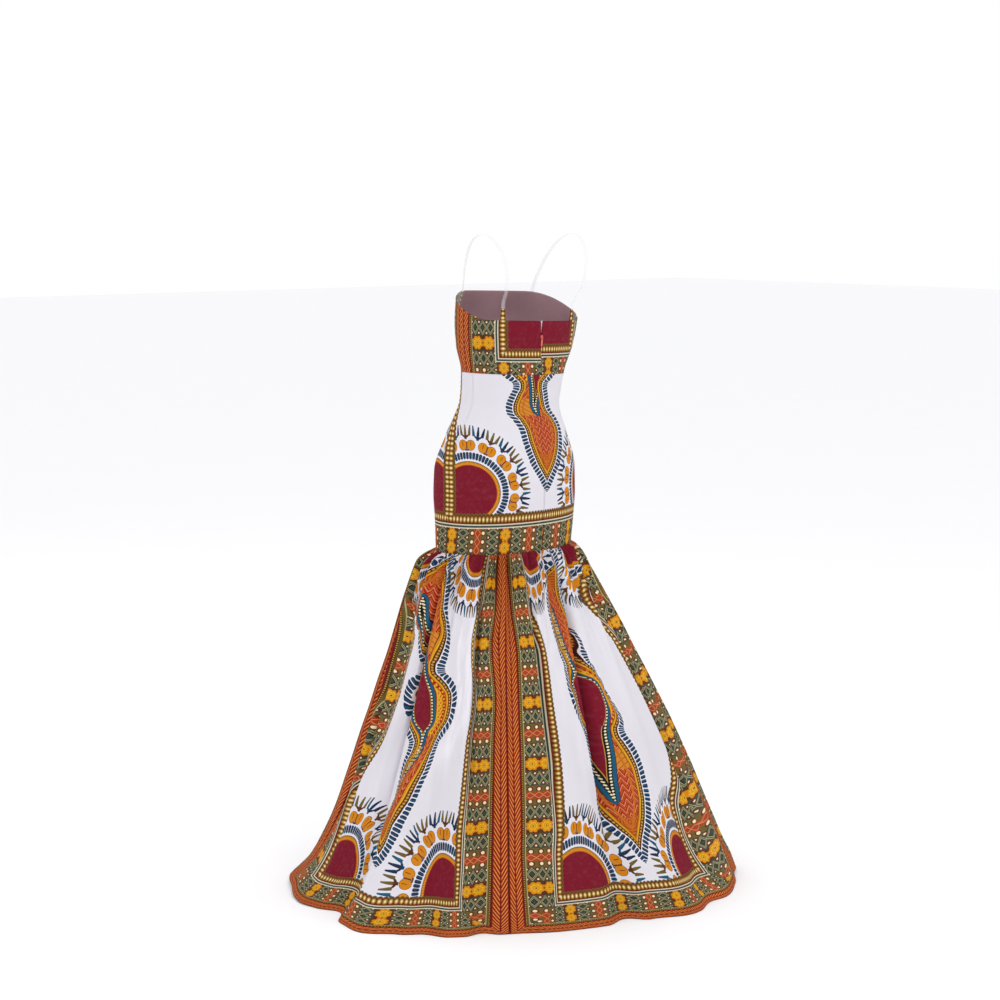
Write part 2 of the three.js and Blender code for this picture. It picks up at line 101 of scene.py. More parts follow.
SECTIONS = table(
    "z half_width back front shift_x shift_y turn tilt",
    (-523, 181, 126, 108, 11, -3, 4, 0),
    (-451, 185, 132, 110, 10, -2, 4, 0),
    (-395, 188, 136, 112, 10, -2, 4, 0),
    (-340, 186, 134, 112, 10, -2, 4, 0),
    (-260, 156, 118, 106, 4, -1, 5, 0),
    (-185, 125, 99, 98, -4, 4, 5, 0.03),
    (-122, 127, 98, 100, -8, 11, 1, 0.035),
    (-60, 141, 101, 118, -10, 18, -5, 0.03),
    (0, 147, 104, 122, -12, 22, -8, 0.03),
    (70, 150, 102, 112, -14, 26, -8, 0.03),
)
STRAP_ROUTE = table(
    "z across back",
    (80, 101, 110), (140, 109, 112), (182, 118, 78), (194, 120, 34), (176, 116, -18), (128, 106, -62),
)
UNEVEN = table("waves phase amount", (5, 0, 0.22), (11, 1, 0.16))
GATHER_FADE = table(
    "along depth",
    (0, 0.16), (0.02, 0.7), (0.05, 1), (0.1, 0.8), (0.2, 0.35), (0.34, 0), (1, 0),
)
FALL = table(
    "along flare drop",
    (0, 0, 0), (0.03, 0.045, 0.022), (0.08, 0.1, 0.07), (0.2, 0.225, 0.193), (0.5, 0.51, 0.5),
    (0.9, 0.9, 0.93), (1, 1, 1),
)
HEM = table(
    "place x y lift belly",
    (0, 283, 348, 0, 0), (0.16, 179, 410, 0, 0), (0.35, 42, 455, 0, 0), (0.5, -60, 481, 0, 2),
    (0.62, -149, 497, 0, 6), (0.8, -283, 460, 0, 14), (0.94, -362, 402, 2, 22),
    (1, -398, 366, 6, 25), (1.12, -446, 312, 8, 27), (1.3, -458, 189, 4, 20),
    (1.5, -427, 50, 0, 8), (1.75, -335, -104, 0, 0), (2, -205, -231, 0, 0),
    (2.25, -48, -328, 0, 0), (2.5, 123, -380, 0, 0), (2.7, 270, -380, 0, -10),
    (2.88, 384, -328, 2, -20), (3, 448, -257, 8, -28), (3.06, 472, -216, 11, -30),
    (3.17, 503, -143, 4, -32), (3.33, 507, -26, 0, -30), (3.49, 526, 90, 0, -22),
    (3.63, 482, 178, 0, -12), (3.81, 404, 276, 0, 0),
)
BELLY = table("along out", (0, 0), (0.05, -0.3), (0.14, -0.1), (0.3, 0.35), (0.75, 1),
              (0.9, 0.7), (1, 0))
FOLDS = table(
    "top hem half_width depth starts",
    (-0.07, -0.08, 0.055, -16, 0.05), (0.45, 0.37, 0.075, -26, 0.03), (0.6, 0.56, 0.11, 12, 0.2),
    (0.72, 0.7, 0.08, -14, 0.12), (1.2, 1.22, 0.13, -24, 0.1), (1.62, 1.6, 0.14, -30, 0.15),
    (1.98, 2, 0.12, -22, 0.08), (2.4, 2.38, 0.14, -30, 0.12), (2.76, 2.78, 0.12, -24, 0.2),
    (3.22, 3.2, 0.09, 8, 0.25), (3.48, 3.35, 0.08, -28, 0.03), (3.62, 3.56, 0.1, 14, 0.2),
    (3.74, 3.74, 0.08, -14, 0.15),
)


def hermite(t, start, end, start_slope, end_slope):
    """Smooth step from one value to another with a slope at each end."""
    return ((2 * t**3 - 3 * t**2 + 1) * start + (t**3 - 2 * t**2 + t) * start_slope
            + (3 * t**2 - 2 * t**3) * end + (t**3 - t**2) * end_slope)


def between(rows, key, value, at):
    """Smooth value of one column of a table at places, without overshoot."""
    keys, values = rows[key], rows[value]
    slopes = np.diff(values) / np.diff(keys)
    tangents = np.empty_like(values)
    tangents[0], tangents[-1] = slopes[0], slopes[-1]
    before, after = slopes[:-1], slopes[1:]
    same = before * after > 0
    total = np.where(same, before + after, 1)
    tangents[1:-1] = np.where(same, 2 * before * after / total, 0)
    i = np.clip(np.searchsorted(keys, at, side="right") - 1, 0, len(keys) - 2)
    span = keys[i + 1] - keys[i]
    t = np.clip((at - keys[i]) / span, 0, 1)
    return hermite(t, values[i], values[i + 1], span * tangents[i], span * tangents[i + 1])


def section(name, z):
    return between(SECTIONS, "z", name, z)


def smooth(value, low, high):
    t = np.clip((value - low) / (high - low), 0, 1)
    return t * t * (3 - 2 * t)


def mound(distance, half_width):
    """A bump of height 1 that is level at its middle and its rim."""
    return (1 + np.cos(np.pi * np.minimum(1, np.abs(distance) / half_width))) / 2


def rounded(value):
    return np.sign(value) * np.abs(value) ** (2 / SQUARENESS)


def point(x, y, z):
    return np.stack(np.broadcast_arrays(x, y, z), -1)


def placed(across, back, z):
    """A point given from the middle of the body, in its place in the dress."""
    turn = np.radians(section("turn", z))
    x = section("shift_x", z) + across * np.cos(turn) - back * np.sin(turn)
    y = section("shift_y", z) + across * np.sin(turn) + back * np.cos(turn)
    return point(x, y, z + section("tilt", z) * x)


def body_point(angle, z):
    """Outer face of the fitted part, at degrees from the wearer's left towards the back."""
    a = np.radians(angle)
    depth = np.where(np.sin(a) > 0, section("back", z), section("front", z))
    sideways = np.abs(np.abs(np.mod(angle, 360) - 270) - CUP["angle"])
    cup = CUP["depth"] * mound(sideways, CUP["half_width"]) * mound(z - CUP["middle"], CUP["reach"])
    return placed(section("half_width", z) * rounded(np.cos(a)), depth * rounded(np.sin(a)) - cup, z)


def top_edge(angle):
    """Height of the top edge: level across the back, rising under the arms to the front."""
    from_back = np.abs(np.mod(angle - CENTRE_BACK + 540, 360) - 180)
    return FRONT_RISE["height"] * smooth(from_back, FRONT_RISE["from"], FRONT_RISE["to"])


def hem_value(name, place):
    """A column of the hem's table at places, smooth all the way round."""
    at = np.mod(place, PANELS)
    count = len(HEM["place"])
    laps = np.concatenate([HEM["place"][-1:] - PANELS, HEM["place"], HEM["place"][:2] + PANELS])
    values = np.concatenate([HEM[name][-1:], HEM[name], HEM[name][:2]])
    i = np.clip(np.searchsorted(laps, at, side="right") - 1, 1, count)
    span = laps[i + 1] - laps[i]
    start = span * (values[i + 1] - values[i - 1]) / (laps[i + 1] - laps[i - 1])
    end = span * (values[i + 2] - values[i]) / (laps[i + 2] - laps[i])
    return hermite((at - laps[i]) / span, values[i], values[i + 1], start, end)


def gathers_to(place):
    """How many gathers lie between the first joint and a place."""
    turn = 2 * np.pi * place / PANELS
    count = GATHERS * place / PANELS
    for waves, phase, amount in zip(*UNEVEN.values()):
        count = count + amount * np.sin(waves * turn + phase)
    return count


def fold_depth(place, along):
    """How far the soft folds push the cloth out at a place."""
    depth = 0
    for top, hem, half_width, deep, starts in zip(*FOLDS.values()):
        middle = top + (hem - top) * along
        apart = np.mod(place - middle + 2, PANELS) - 2
        depth = depth + deep * mound(apart, half_width) * smooth(along, starts, 1) ** FOLD_RISE
    return depth


def top_ring(place):
    return body_point(FIRST_JOINT + 360 / PANELS * place, np.full_like(place, FLOUNCE_SEAM))


def hem_ring(place):
    return point(hem_value("x", place), hem_value("y", place), FLOOR)


def out_of(curve, place, step):
    """Level direction out of a closed curve at a place."""
    way = curve(place + step) - curve(place - step)
    way = way / np.hypot(way[..., 0], way[..., 1])[..., None]
    return point(way[..., 1], -way[..., 0], 0)


def flounce_point(place, along, tucks=lambda place, along: 0):
    """Outer face of the flounce, place in panels from the first joint, along from seam to hem.

    tucks gives how far the finest gathers and creases stand out there."""
    place, along = np.broadcast_arrays(np.asarray(place, float), np.clip(along, 0, 1))
    top, hem = top_ring(place), hem_ring(place)
    flare, drop = between(FALL, "along", "flare", along), between(FALL, "along", "drop", along)
    lift = hem_value("lift", place) * smooth(along, LIFT_FROM, 1)
    gather = GATHER_DEPTH * between(GATHER_FADE, "along", "depth", along)
    gather = gather * np.cos(2 * np.pi * gathers_to(place)) + tucks(place, along)
    face = point(top[..., 0] + (hem[..., 0] - top[..., 0]) * flare,
                 top[..., 1] + (hem[..., 1] - top[..., 1]) * flare,
                 top[..., 2] + (FLOOR - top[..., 2]) * drop - SEAM_GAP * (1 - drop) + lift)
    face = face + out_of(top_ring, place, 0.02) * gather[..., None]
    belly = hem_value("belly", place) * between(BELLY, "along", "out", along)
    return face + out_of(hem_ring, place, 0.1) * (fold_depth(place, along) + belly)[..., None]


def beside_seam(distance, z):
    """Angle that lies some millimetres from the centre back."""
    return np.degrees(np.arcsin((distance / section("half_width", z)) ** (SQUARENESS / 2)))


def zip_half_gap(z):
    """Half of the gap between the two backs: open above the slider, closed below it."""
    opened = np.clip((z - ZIP["slider_top"]) / -ZIP["slider_top"], 0, 1)
    return SEAM_GAP / 2 + (ZIP["open_gap"] / 2 - SEAM_GAP / 2) * opened


ROUND = {
    "back_left": (lambda z: LEFT_SIDE + SEAM_ANGLE + 0 * z,
                  lambda z: CENTRE_BACK - beside_seam(zip_half_gap(z), z)),
    "back_right": (lambda z: CENTRE_BACK + beside_seam(zip_half_gap(z), z),
                   lambda z: RIGHT_SIDE - SEAM_ANGLE + 0 * z),
    "front": (lambda z: RIGHT_SIDE + SEAM_ANGLE + 0 * z,
              lambda z: 360 + LEFT_SIDE - SEAM_ANGLE + 0 * z),
}


def fitted_place(side, top_at, bottom, across, down):
    """Angle and height on a fitted piece, between its top edge and the seam under it."""
    starts, ends = ROUND[side]
    bottom = np.full_like(across, bottom)
    angle = starts(bottom) + (ends(bottom) - starts(bottom)) * across
    z = top_at(angle) + (bottom - top_at(angle)) * down
    return starts(z) + (ends(z) - starts(z)) * across, z


# Values and colours worked out by a material's nodes

class Shade:
    """A value or colour that changes over a surface, worked out by a material's nodes."""

    def __init__(self, tree, socket):
        self.tree, self.socket = tree, socket

    def math(self, operation, *others):
        node = self.tree.nodes.new("ShaderNodeMath")
        node.operation = operation
        for socket, value in zip(node.inputs, (self, *others)):
            if isinstance(value, Shade):
                self.tree.links.new(value.socket, socket)
            else:
                socket.default_value = value
        return Shade(self.tree, node.outputs[0])

    def __add__(self, other):
        return self.math("ADD", other)

    def __sub__(self, other):
        return self.math("SUBTRACT", other)

    def __rsub__(self, other):
        return self.math("MULTIPLY_ADD", -1, other)

    def __mul__(self, other):
        return self.math("MULTIPLY", other)

    __rmul__ = __mul__

    def __truediv__(self, other):
        return self.math("DIVIDE", other)

    def __abs__(self):
        return self.math("ABSOLUTE")

    def __lt__(self, other):
        return self.math("LESS_THAN", other)

    def __gt__(self, other):
        return self.math("GREATER_THAN", other)

    def least(self, other):
        return self.math("MINIMUM", other)

    def most(self, other):
        return self.math("MAXIMUM", other)

    def fraction(self):
        return self.math("FRACT")

    def whole(self):
        return self.math("FLOOR")

    def length(self, other):
        """Distance from a middle, by how far it is two ways."""
        return (self * self + other * other).math("SQRT")

    def repeat(self, pitch):
        """Distance from the middle of the nearest of a row of repeats."""
        return ((self / pitch).fraction() - 0.5) * pitch

    def inside(self, low, high):
        return (self > low) * (self < high)

    def near(self, middle, reach):
        return self.math("COMPARE", middle, reach)

    def profile(self, rows):
        """Smooth value from a short table of places and values, as a drawn curve."""
        low, bottom = rows[0][0], min(value for _, value in rows)
        span = rows[-1][0] - low
        height = max(value for _, value in rows) - bottom
        node = self.tree.nodes.new("ShaderNodeFloatCurve")
        curve = node.mapping.curves[0]
        node.mapping.use_clip = False
        for i, (place, value) in enumerate(rows):
            spot = ((place - low) / span, (value - bottom) / height)
            if i < 2:
                curve.points[i].location = spot
            else:
                curve.points.new(*spot)
        node.mapping.update()
        self.tree.links.new(((self - low) / span).socket, node.inputs["Value"])
        return Shade(self.tree, node.outputs["Value"]) * height + bottom


# Everyday colour numbers of the inks and of the plain parts
INKS = {
    "white": (238, 234, 242), "cream": (226, 214, 188), "green": (62, 82, 72), "maroon": (146, 22, 48),
    "rust": (126, 28, 22), "orange": (240, 98, 24), "peach": (250, 160, 104), "straw": (255, 186, 96),
    "umber": (62, 30, 18), "olive": (126, 106, 50), "slate": (74, 88, 72), "lattice": (214, 202, 142),
    "brick": (204, 66, 30), "ring": (120, 44, 26), "marigold": (250, 156, 16), "saffron": (255, 204, 44),
    "bronze": (150, 106, 30), "gold": (226, 180, 76), "bead": (246, 232, 190), "navy": (34, 54, 90),
    "teal": (30, 104, 140), "amber": (240, 158, 48), "brown": (104, 56, 22), "scarlet": (196, 40, 30),
    "honey": (226, 126, 34), "ink": (26, 20, 24), "tape": (236, 230, 236), "coral": (232, 96, 84),
    "film": (222, 222, 226), "floor": (250, 250, 252),
}
INK_DEPTH = 0.76
UNPRINTED = ("white", "tape", "film", "floor", "bead", "cream")


def ink(name):
    """A colour as Blender takes it, from its everyday numbers. Printed ones sink into the cotton."""
    parts = [part / 255 for part in INKS[name]]
    depth = 1 if name in UNPRINTED else INK_DEPTH
    return [depth * (part / 12.92 if part <= 0.04045 else ((part + 0.055) / 1.055) ** 2.4)
            for part in parts] + [1]


class Print:
    """Colours laid one over another, as a printer lays them on cloth."""

    def __init__(self, tree, ground):
        self.tree, self.colour = tree, ground

    def lay(self, mask, colour):
        node = self.tree.nodes.new("ShaderNodeMix")
        node.data_type = "RGBA"
        self.tree.links.new(mask.socket, node.inputs["Factor"])
        for name, value in (("A", self.colour), ("B", colour)):
            socket = next(s for s in node.inputs if s.name == name and s.type == "RGBA")
            if isinstance(value, Shade):
                self.tree.links.new(value.socket, socket)
            else:
                socket.default_value = ink(value)
        self.colour = Shade(self.tree, next(s for s in node.outputs if s.type == "RGBA"))

    def past(self, distance, *bands):
        """Bands side by side, each colour from its own distance on."""
        for start, colour in bands:
            self.lay(distance > start, colour)

    def within(self, distance, *sizes, where=None):
        """Shapes one inside another, each colour up to its own distance."""
        for size, colour in sizes:
            mask = distance < size
            self.lay(where * mask if where else mask, colour)


def effect(name, inputs, outputs):
    """An empty shader group with named inputs and outputs. Returns it and its inputs by name."""
    tree = bpy.data.node_groups.new(name, "ShaderNodeTree")
    for label, value in inputs.items():
        socket = tree.interface.new_socket(name=label, in_out="INPUT", socket_type="NodeSocketFloat")
        socket.default_value = value
    for label, kind in outputs.items():
        tree.interface.new_socket(name=label, in_out="OUTPUT", socket_type=f"NodeSocket{kind}")
    start, end = tree.nodes.new("NodeGroupInput"), tree.nodes.new("NodeGroupOutput")
    return tree, {label: Shade(tree, start.outputs[label]) for label in inputs}, end


def give(tree, end, **results):
    for label, shade in results.items():
        tree.links.new(shade.socket, end.inputs[label])


def use(tree, name, **values):
    """Places a group in a material or another group, and returns its outputs by name."""
    node = tree.nodes.new("ShaderNodeGroup")
    node.node_tree = bpy.data.node_groups[name]
    for label, value in values.items():
        if isinstance(value, Shade):
            tree.links.new(value.socket, node.inputs[label])
        else:
            node.inputs[label].default_value = value
    return {socket.name: Shade(tree, socket) for socket in node.outputs}


# The print

MOTIF = {"Colour": "Color", "Mask": "Float"}
# The border's bands, by distance from the cloth's edge, and the blocks that repeat along it
BAND = {"braid": 38, "rule": 46, "lattice": 100, "lines": 109, "chain": 126, "field": 132}
REPEAT = {"length": 137, "fitted_length": 152, "rosettes": 31, "first_lozenges": 62, "dots": 104}
BRAID = {"middle": 18, "slope": 1.7, "pitch": 12}
ROSETTE = {"pitch": 27, "petals": 4, "outer": 11.5, "outer_wave": 3, "inner": 6.5, "inner_wave": 3.5}
GRID = 18
LOZENGE = {"first": 46.5, "first_reach": 15.5, "second": 120.5, "second_reach": 16.5,
           "half_width": 9, "half_length": 13.5, "line": 0.055}
RED_DOTS = {"middle": 83, "row": 13.5, "slope": 0.7}
CHAIN = {"middle": 119, "half_width": 7.2, "half_length": 4.7, "pitch": 10.4, "scallop": 5.6, "rim": 2.2}


def braid_and_rule(edge, along, cloth):
    """Slanting strokes on both sides of a braid, and the beaded rule inside it."""
    rib = abs(edge - BRAID["middle"])
    stroke = ((along - rib * BRAID["slope"]) / BRAID["pitch"]).fraction()
    cloth.lay(stroke.inside(0.12, 0.74) * rib.inside(1.2, 16), "orange")
    cloth.lay(stroke.inside(0.3, 0.5) * rib.inside(2.4, 14.5), "straw")
    cloth.past(edge, (BAND["braid"], "umber"))
    cloth.lay(edge.near(39.6, 1) * (along.repeat(5).near(0, 1.3)), "gold")
    cloth.lay(edge.inside(41.2, 44.6), "olive")
    cloth.lay(edge.near(45, 0.7), "lattice")


def rosettes(across, place, cloth):
    """Two round flowers side by side in the lattice band."""
    x, y = across.repeat(ROSETTE["pitch"]), place - REPEAT["rosettes"] / 2
    reach = x.length(y)
    petal = abs((y.math("ARCTAN2", x) * ROSETTE["petals"]).math("SINE"))
    cloth.lay(place < REPEAT["rosettes"], "brown")
    cloth.lay(reach < petal * ROSETTE["outer_wave"] + ROSETTE["outer"], "marigold")
    cloth.lay(reach < petal * ROSETTE["inner_wave"] + ROSETTE["inner"], "saffron")
    cloth.lay(reach.near(4.6, 1.1), "marigold")
    cloth.within(reach, (1.6, "brown"))


def lozenges(across, place, cloth):
    """Crossed lines over dark lozenges, with ringed dots between them."""
    size = LOZENGE
    first = place.near(size["first"], size["first_reach"])
    second = place.near(size["second"], size["second_reach"])
    x, y = abs(across.repeat(GRID)), abs(first * size["first"] + second * size["second"] - place)
    where = first.most(second)
    cross = x / size["half_width"] + y / size["half_length"]
    cloth.lay(where, "slate")
    cloth.within(cross, (0.62, "umber"), (0.42, "green"), where=where)
    for line in (0.75, 1.05):
        cloth.lay(where * cross.near(line, size["line"]), "lattice")
    cloth.within((x - GRID / 2).length(y - 11), (4.2, "ring"), (1.9, "bead"), where=where)


def red_dots(across, place, cloth):
    """Red zigzags between two rows of pale dots."""
    where = place.inside(REPEAT["first_lozenges"], REPEAT["dots"])
    x, y = abs(across.repeat(GRID)), abs(place - RED_DOTS["middle"])
    wave = y + x * RED_DOTS["slope"]
    dot = x.length(y - RED_DOTS["row"])
    cloth.lay(where, "olive")
    cloth.within(dot, (6.2, "ring"), where=where * (y > 8))
    cloth.lay(where * wave.near(3.6, 2).most(wave.near(9.8, 1.7)), "brick")
    cloth.lay(where * wave.near(6.6, 0.8), "peach")
    cloth.within(dot, (3.5, "bead"), where=where)


def make_border():
    """The whole border from the cloth's edge in, and a mask of where it lies."""
    tree, at, end = effect("Border print", {"Edge": 0, "Along": 0, "Repeat": REPEAT["length"]}, MOTIF)
    edge, along = at["Edge"], at["Along"]
    cloth, band = Print(tree, "rust"), Print(tree, "olive")
    braid_and_rule(edge, along, cloth)
    place = (along / at["Repeat"]).fraction() * REPEAT["length"]
    for block in (rosettes, lozenges, red_dots):
        block(edge - BAND["rule"], place, band)
    cloth.lay(edge > BAND["rule"], band.colour)
    cloth.past(edge, (BAND["lattice"], "cream"), (102.4, "green"), (106.4, "cream"),
               (BAND["lines"], "ring"))
    turn = along.repeat(CHAIN["pitch"])
    bead = (abs(edge - CHAIN["middle"]) / CHAIN["half_width"]).length(turn / CHAIN["half_length"])
    cloth.within(bead, (1.05, "bronze"), (0.76, "gold"), (0.4, "bead"), where=edge > BAND["lines"])
    scallop = (edge - BAND["chain"]).length(turn)
    cloth.lay((edge > BAND["chain"]) * (scallop > CHAIN["scallop"] - CHAIN["rim"]), "olive")
    give(tree, end, Colour=cloth.colour, Mask=(edge < BAND["chain"]).most(scallop < CHAIN["scallop"]))


MEDALLION = {"disc": 75, "rim": 86, "petals_in": 91, "petals": 100.5, "petals_out": 110, "clovers": 128,
             "tridents": 146}
# Turns of a repeat in one radian of the medallion
TEETH, PETALS = 22, 11
CLOVER = {"pitch": 58, "apart": 12, "size": 12, "outline": 13}
TRIDENT = {"middle": 158, "pitch": 39, "apart": 12.4, "stroke": 4, "top": 33}


def clovers(turn, reach, cloth):
    """Pairs of round lobes on a forked stem. Returns where they lie."""
    pair = (turn * (MEDALLION["clovers"] / CLOVER["pitch"])).repeat(1) * CLOVER["pitch"]
    lobe, out = abs(pair) - CLOVER["apart"], reach - MEDALLION["clovers"]
    blob = lobe.length(out * 0.92)
    stem = pair.near(0, 1.5) * out.inside(-15, 9)
    stem = stem.most((abs(pair) - 4).length(out + 12.5) < 2.6)
    vein = lobe.near(0, 0.8) * out.inside(-3, 9)
    cloth.within(blob, (CLOVER["outline"], "brown"), (CLOVER["size"], "marigold"))
    cloth.lay(blob.inside(5, CLOVER["size"]) * (lobe < 0) * (out < 0), "amber")
    cloth.lay(stem.most(vein * (blob < CLOVER["outline"])), "ring")
    return (blob < CLOVER["outline"]).most(stem)


def tridents(turn, reach, cloth):
    """Three-pronged forks that point outwards, dark and olive by turns. Returns where they lie."""
    place = turn * (TRIDENT["middle"] / TRIDENT["pitch"])
    prong = place.repeat(1) * TRIDENT["pitch"]
    out = reach - MEDALLION["tridents"]
    stroke = TRIDENT["stroke"] - (out - 14).most(0) * 0.13
    bowl = (abs(out - 3 - prong * prong * 0.05) < 3.2) * (abs(prong) < 14)
    sides = abs(abs(prong) - TRIDENT["apart"] - (out - 8).most(0) * 0.12) < stroke
    middle = (abs(prong) < stroke) * out.inside(-3, TRIDENT["top"])
    trident = bowl.most(sides * out.inside(7, TRIDENT["top"])).most(middle)
    odd = (place.whole() * 0.5).fraction().near(0, 0.1)
    cloth.lay(trident, "navy")
    cloth.lay(trident * (prong > 0) * abs(prong - 1) * 0.1, "teal")
    cloth.lay(trident * odd, "olive")
    cloth.lay(trident * odd * (out < 8), "brown")
    return trident


def make_medallion():
    """A maroon disc with a toothed rim, a ring of petals, clovers in pairs and tridents."""
    tree, at, end = effect("Medallion print", {"Across": 0, "Up": 0}, MOTIF)
    reach = at["Across"].length(at["Up"])
    turn = at["Up"].math("ARCTAN2", at["Across"])
    disc, rim = MEDALLION["disc"], MEDALLION["rim"]
    cloth = Print(tree, "maroon")
    cloth.past(reach, (disc - 1.4, "ring"), (disc, "orange"))
    tooth = (turn * TEETH).fraction() < 0.5
    cloth.lay((reach > disc + 2) * tooth, "saffron")
    cloth.lay((reach > disc + 6) * (tooth < 0.5), "scarlet")
    cloth.past(reach, (rim - 1.6, "ink"))
    petal = (turn * PETALS).repeat(1) * 9.2
    petals = (reach.inside(MEDALLION["petals_in"], MEDALLION["petals_out"])
              * ((abs(reach - MEDALLION["petals"]) - 5.5).most(0).length(petal) < 4))
    cloth.lay(petals, "navy")
    cloth.lay(petals * petal.near(0.9, 0.6), "teal")
    mask = (reach < rim).most(petals)
    for motif in (clovers, tridents):
        mask = mask.most(motif(turn, reach, cloth))
    give(tree, end, Colour=cloth.colour, Mask=mask)


# Half width of the leaf's gold outline, and of the flame inside it, by distance from its lower tip
LEAF = (
    (-40, -24), (0, 0), (45, 29), (80, 44), (115, 52), (150, 52), (190, 44), (228, 32), (250, 26),
    (268, 36), (292, 58), (320, 71), (350, 71), (378, 56), (402, 34), (424, 26), (455, 34), (490, 44),
    (525, 46), (560, 40), (600, 26), (650, 0), (690, -24),
)
FLAME = (
    (-40, -24), (86, -3), (104, 11), (150, 18), (210, 27), (250, 29), (270, 34), (292, 44), (320, 50),
    (350, 48), (376, 34), (392, 16), (410, 12), (450, 15), (520, 13), (570, -3), (690, -24),
)
# Where the leaf's eye, its tips and the patterned block lie, by distance from its lower tip
EYE = (262, 398)
TIPS = (62, 590)
BLOCK = (168, 214)
FLAME_MIDDLE = -14
FLAME_FOOT = 268


def slant(rows):
    """Sine and cosine of how an outline leans, at a few places along it."""
    places = np.linspace(rows[0][0], rows[-1][0], 40)
    widths = np.interp(np.stack([places - 9, places + 9]), *zip(*rows))
    slope = (widths[1] - widths[0]) / 18
    reach = np.hypot(1, slope)
    return list(zip(places, slope / reach)), list(zip(places, 1 / reach))


def leaf_ground(across, up, out, cloth):
    """Chevrons, a block of crossed lines and the tips' rings, under the eye and the flame."""
    chevron = ((up + abs(across.repeat(22)) * 1.5) / 16).fraction()
    cloth.within(chevron, (0.86, "scarlet"))
    cloth.lay(chevron.near(0.36, 0.12), "peach")
    block = (across > 0) * up.inside(*BLOCK)
    cloth.lay(block, "amber")
    cloth.lay(block * abs(across * 0.6 - (up - 180)).repeat(13).near(0, 1), "brick")
    tip = (up < TIPS[0]).most(up > TIPS[1])
    cloth.lay(tip, "honey")
    cloth.lay(tip * ((across.length(up - 50) / 6).fraction() > 0.6), "brick")
    cloth.lay(out.inside(-22, -17), "honey")


def leaf_eye(up, out, foot, inner, cloth):
    """Rays round the flame at the leaf's widest part."""
    eye, ray = up.inside(*EYE), (foot / 9).fraction()
    stroke = ((inner + foot * 0.4) / 8).fraction().near(0.5, 0.25)
    cloth.lay(eye, "orange")
    cloth.lay(eye * (inner > 3), "saffron")
    cloth.lay(eye * (inner > 6) * stroke * (ray > 0.3), "orange")
    cloth.lay(eye * (out > -17) * (ray < 0.5), "scarlet")


def leaf_flame(up, inner, cloth):
    """A maroon flame in rims of gold, beads, black and teal."""
    cloth.within(inner, (1.4, "umber"), (0, "teal"), (-6.4, "ink"))
    cloth.within(up.repeat(7).length(inner + 9.8), (2.2, "bead"), where=inner < -6.4)
    cloth.lay((inner < -13) * (up < FLAME_FOOT), "ink")
    for foot, rim, colour in ((-15, -13, "gold"), (-16.2, -14.2, "maroon")):
        cloth.lay((inner < rim) * (up > FLAME_FOOT).most(inner < foot), colour)
    cloth.lay((inner < -3) * (up > 420) * ((up / 9).fraction() < 0.5), "gold")


def make_leaf():
    """A long leaf with a flame and an eye inside it, and short dashes all round."""
    tree, at, end = effect("Leaf print", {"Across": 0, "Up": 0, "Flame": 0}, MOTIF)
    across, up = at["Across"], at["Up"]
    sines, cosines = slant(LEAF)
    out = (abs(across) - up.profile(LEAF)) * up.profile(cosines)
    foot = up + out * up.profile(sines)
    inner = abs(across - FLAME_MIDDLE) - (up + at["Flame"]).profile(FLAME)
    inner = inner * 0.9
    cloth = Print(tree, "honey")
    leaf_ground(across, up, out, cloth)
    leaf_eye(up, out, foot, inner, cloth)
    leaf_flame(up, inner, cloth)
    cloth.past(out, (-9, "ring"), (-7.6, "marigold"), (-4.6, "saffron"), (-2.4, "ring"))
    cloth.lay((out > -1.6) * (foot.repeat(6.4).length(out - 2.2) < 2.3), "gold")
    cloth.past(out, (5.4, "umber"), (8.4, "navy"))
    dash = foot.repeat(8.6)
    dashes = (abs(out - 19.4) - 6).most(0).length(dash) < 3.3
    cloth.lay(dashes * dash.near(0.8, 0.7), "teal")
    give(tree, end, Colour=cloth.colour, Mask=(out < 8).most(dashes * (out > 9)))


def make_piece_print(name, ground, layout):
    """The print of one kind of piece, its motifs laid on a ground by millimetres across and up."""
    tree, at, end = effect(name, {"Across": 0, "Up": 0}, {"Colour": "Color"})
    cloth = Print(tree, ground)
    for motif, values in layout(at["Across"], at["Up"]):
        part = use(tree, motif, **values)
        cloth.lay(part["Mask"], part["Colour"])
    give(tree, end, Colour=cloth.colour)


# Places on a flounce panel: its leaf's tip, and the discs at the hem and near the top
FLOUNCE_PRINT = {"tip": 215, "both_tips": 1099, "disc_in": 178, "disc_gap": 394, "discs_middle": 536}


def flounce_print(chart, up):
    """One bordered panel of the flounce, from its hem up.

    Panels charted beyond their own width have the leaf the other way up."""
    size = FLOUNCE_PRINT
    turned = chart > PANEL_WIDTH
    across = chart - turned * PANEL_WIDTH
    side = PANEL_WIDTH / 2 - abs(across - PANEL_WIDTH / 2)
    along = up + (across - up) * (up < side)
    leaf_up = up - size["tip"] + turned * (size["both_tips"] - 2 * up)
    disc_up = size["disc_gap"] - abs(up - size["discs_middle"])
    return (("Medallion print", {"Across": side - size["disc_in"], "Up": disc_up}),
            ("Leaf print", {"Across": across - PANEL_WIDTH / 2, "Up": leaf_up}),
            ("Border print", {"Edge": side.least(up), "Along": along + 8}))


# Places on the skirt, round from the centre back and up from the back's top edge
SKIRT_PRINT = {"front": 500, "strip": 240, "disc_in": 51, "disc_up": -381, "tall": 0.82, "wide": 0.86,
               "tip": -352, "flame": -72, "chain_in": 113}
# Where the middle of the back's leaf lies, by height
SKIRT_LEAF_AXIS = ((-360, 9), (-262, 9), (-225, -6), (-185, -30), (-146, -27), (-90, -27))


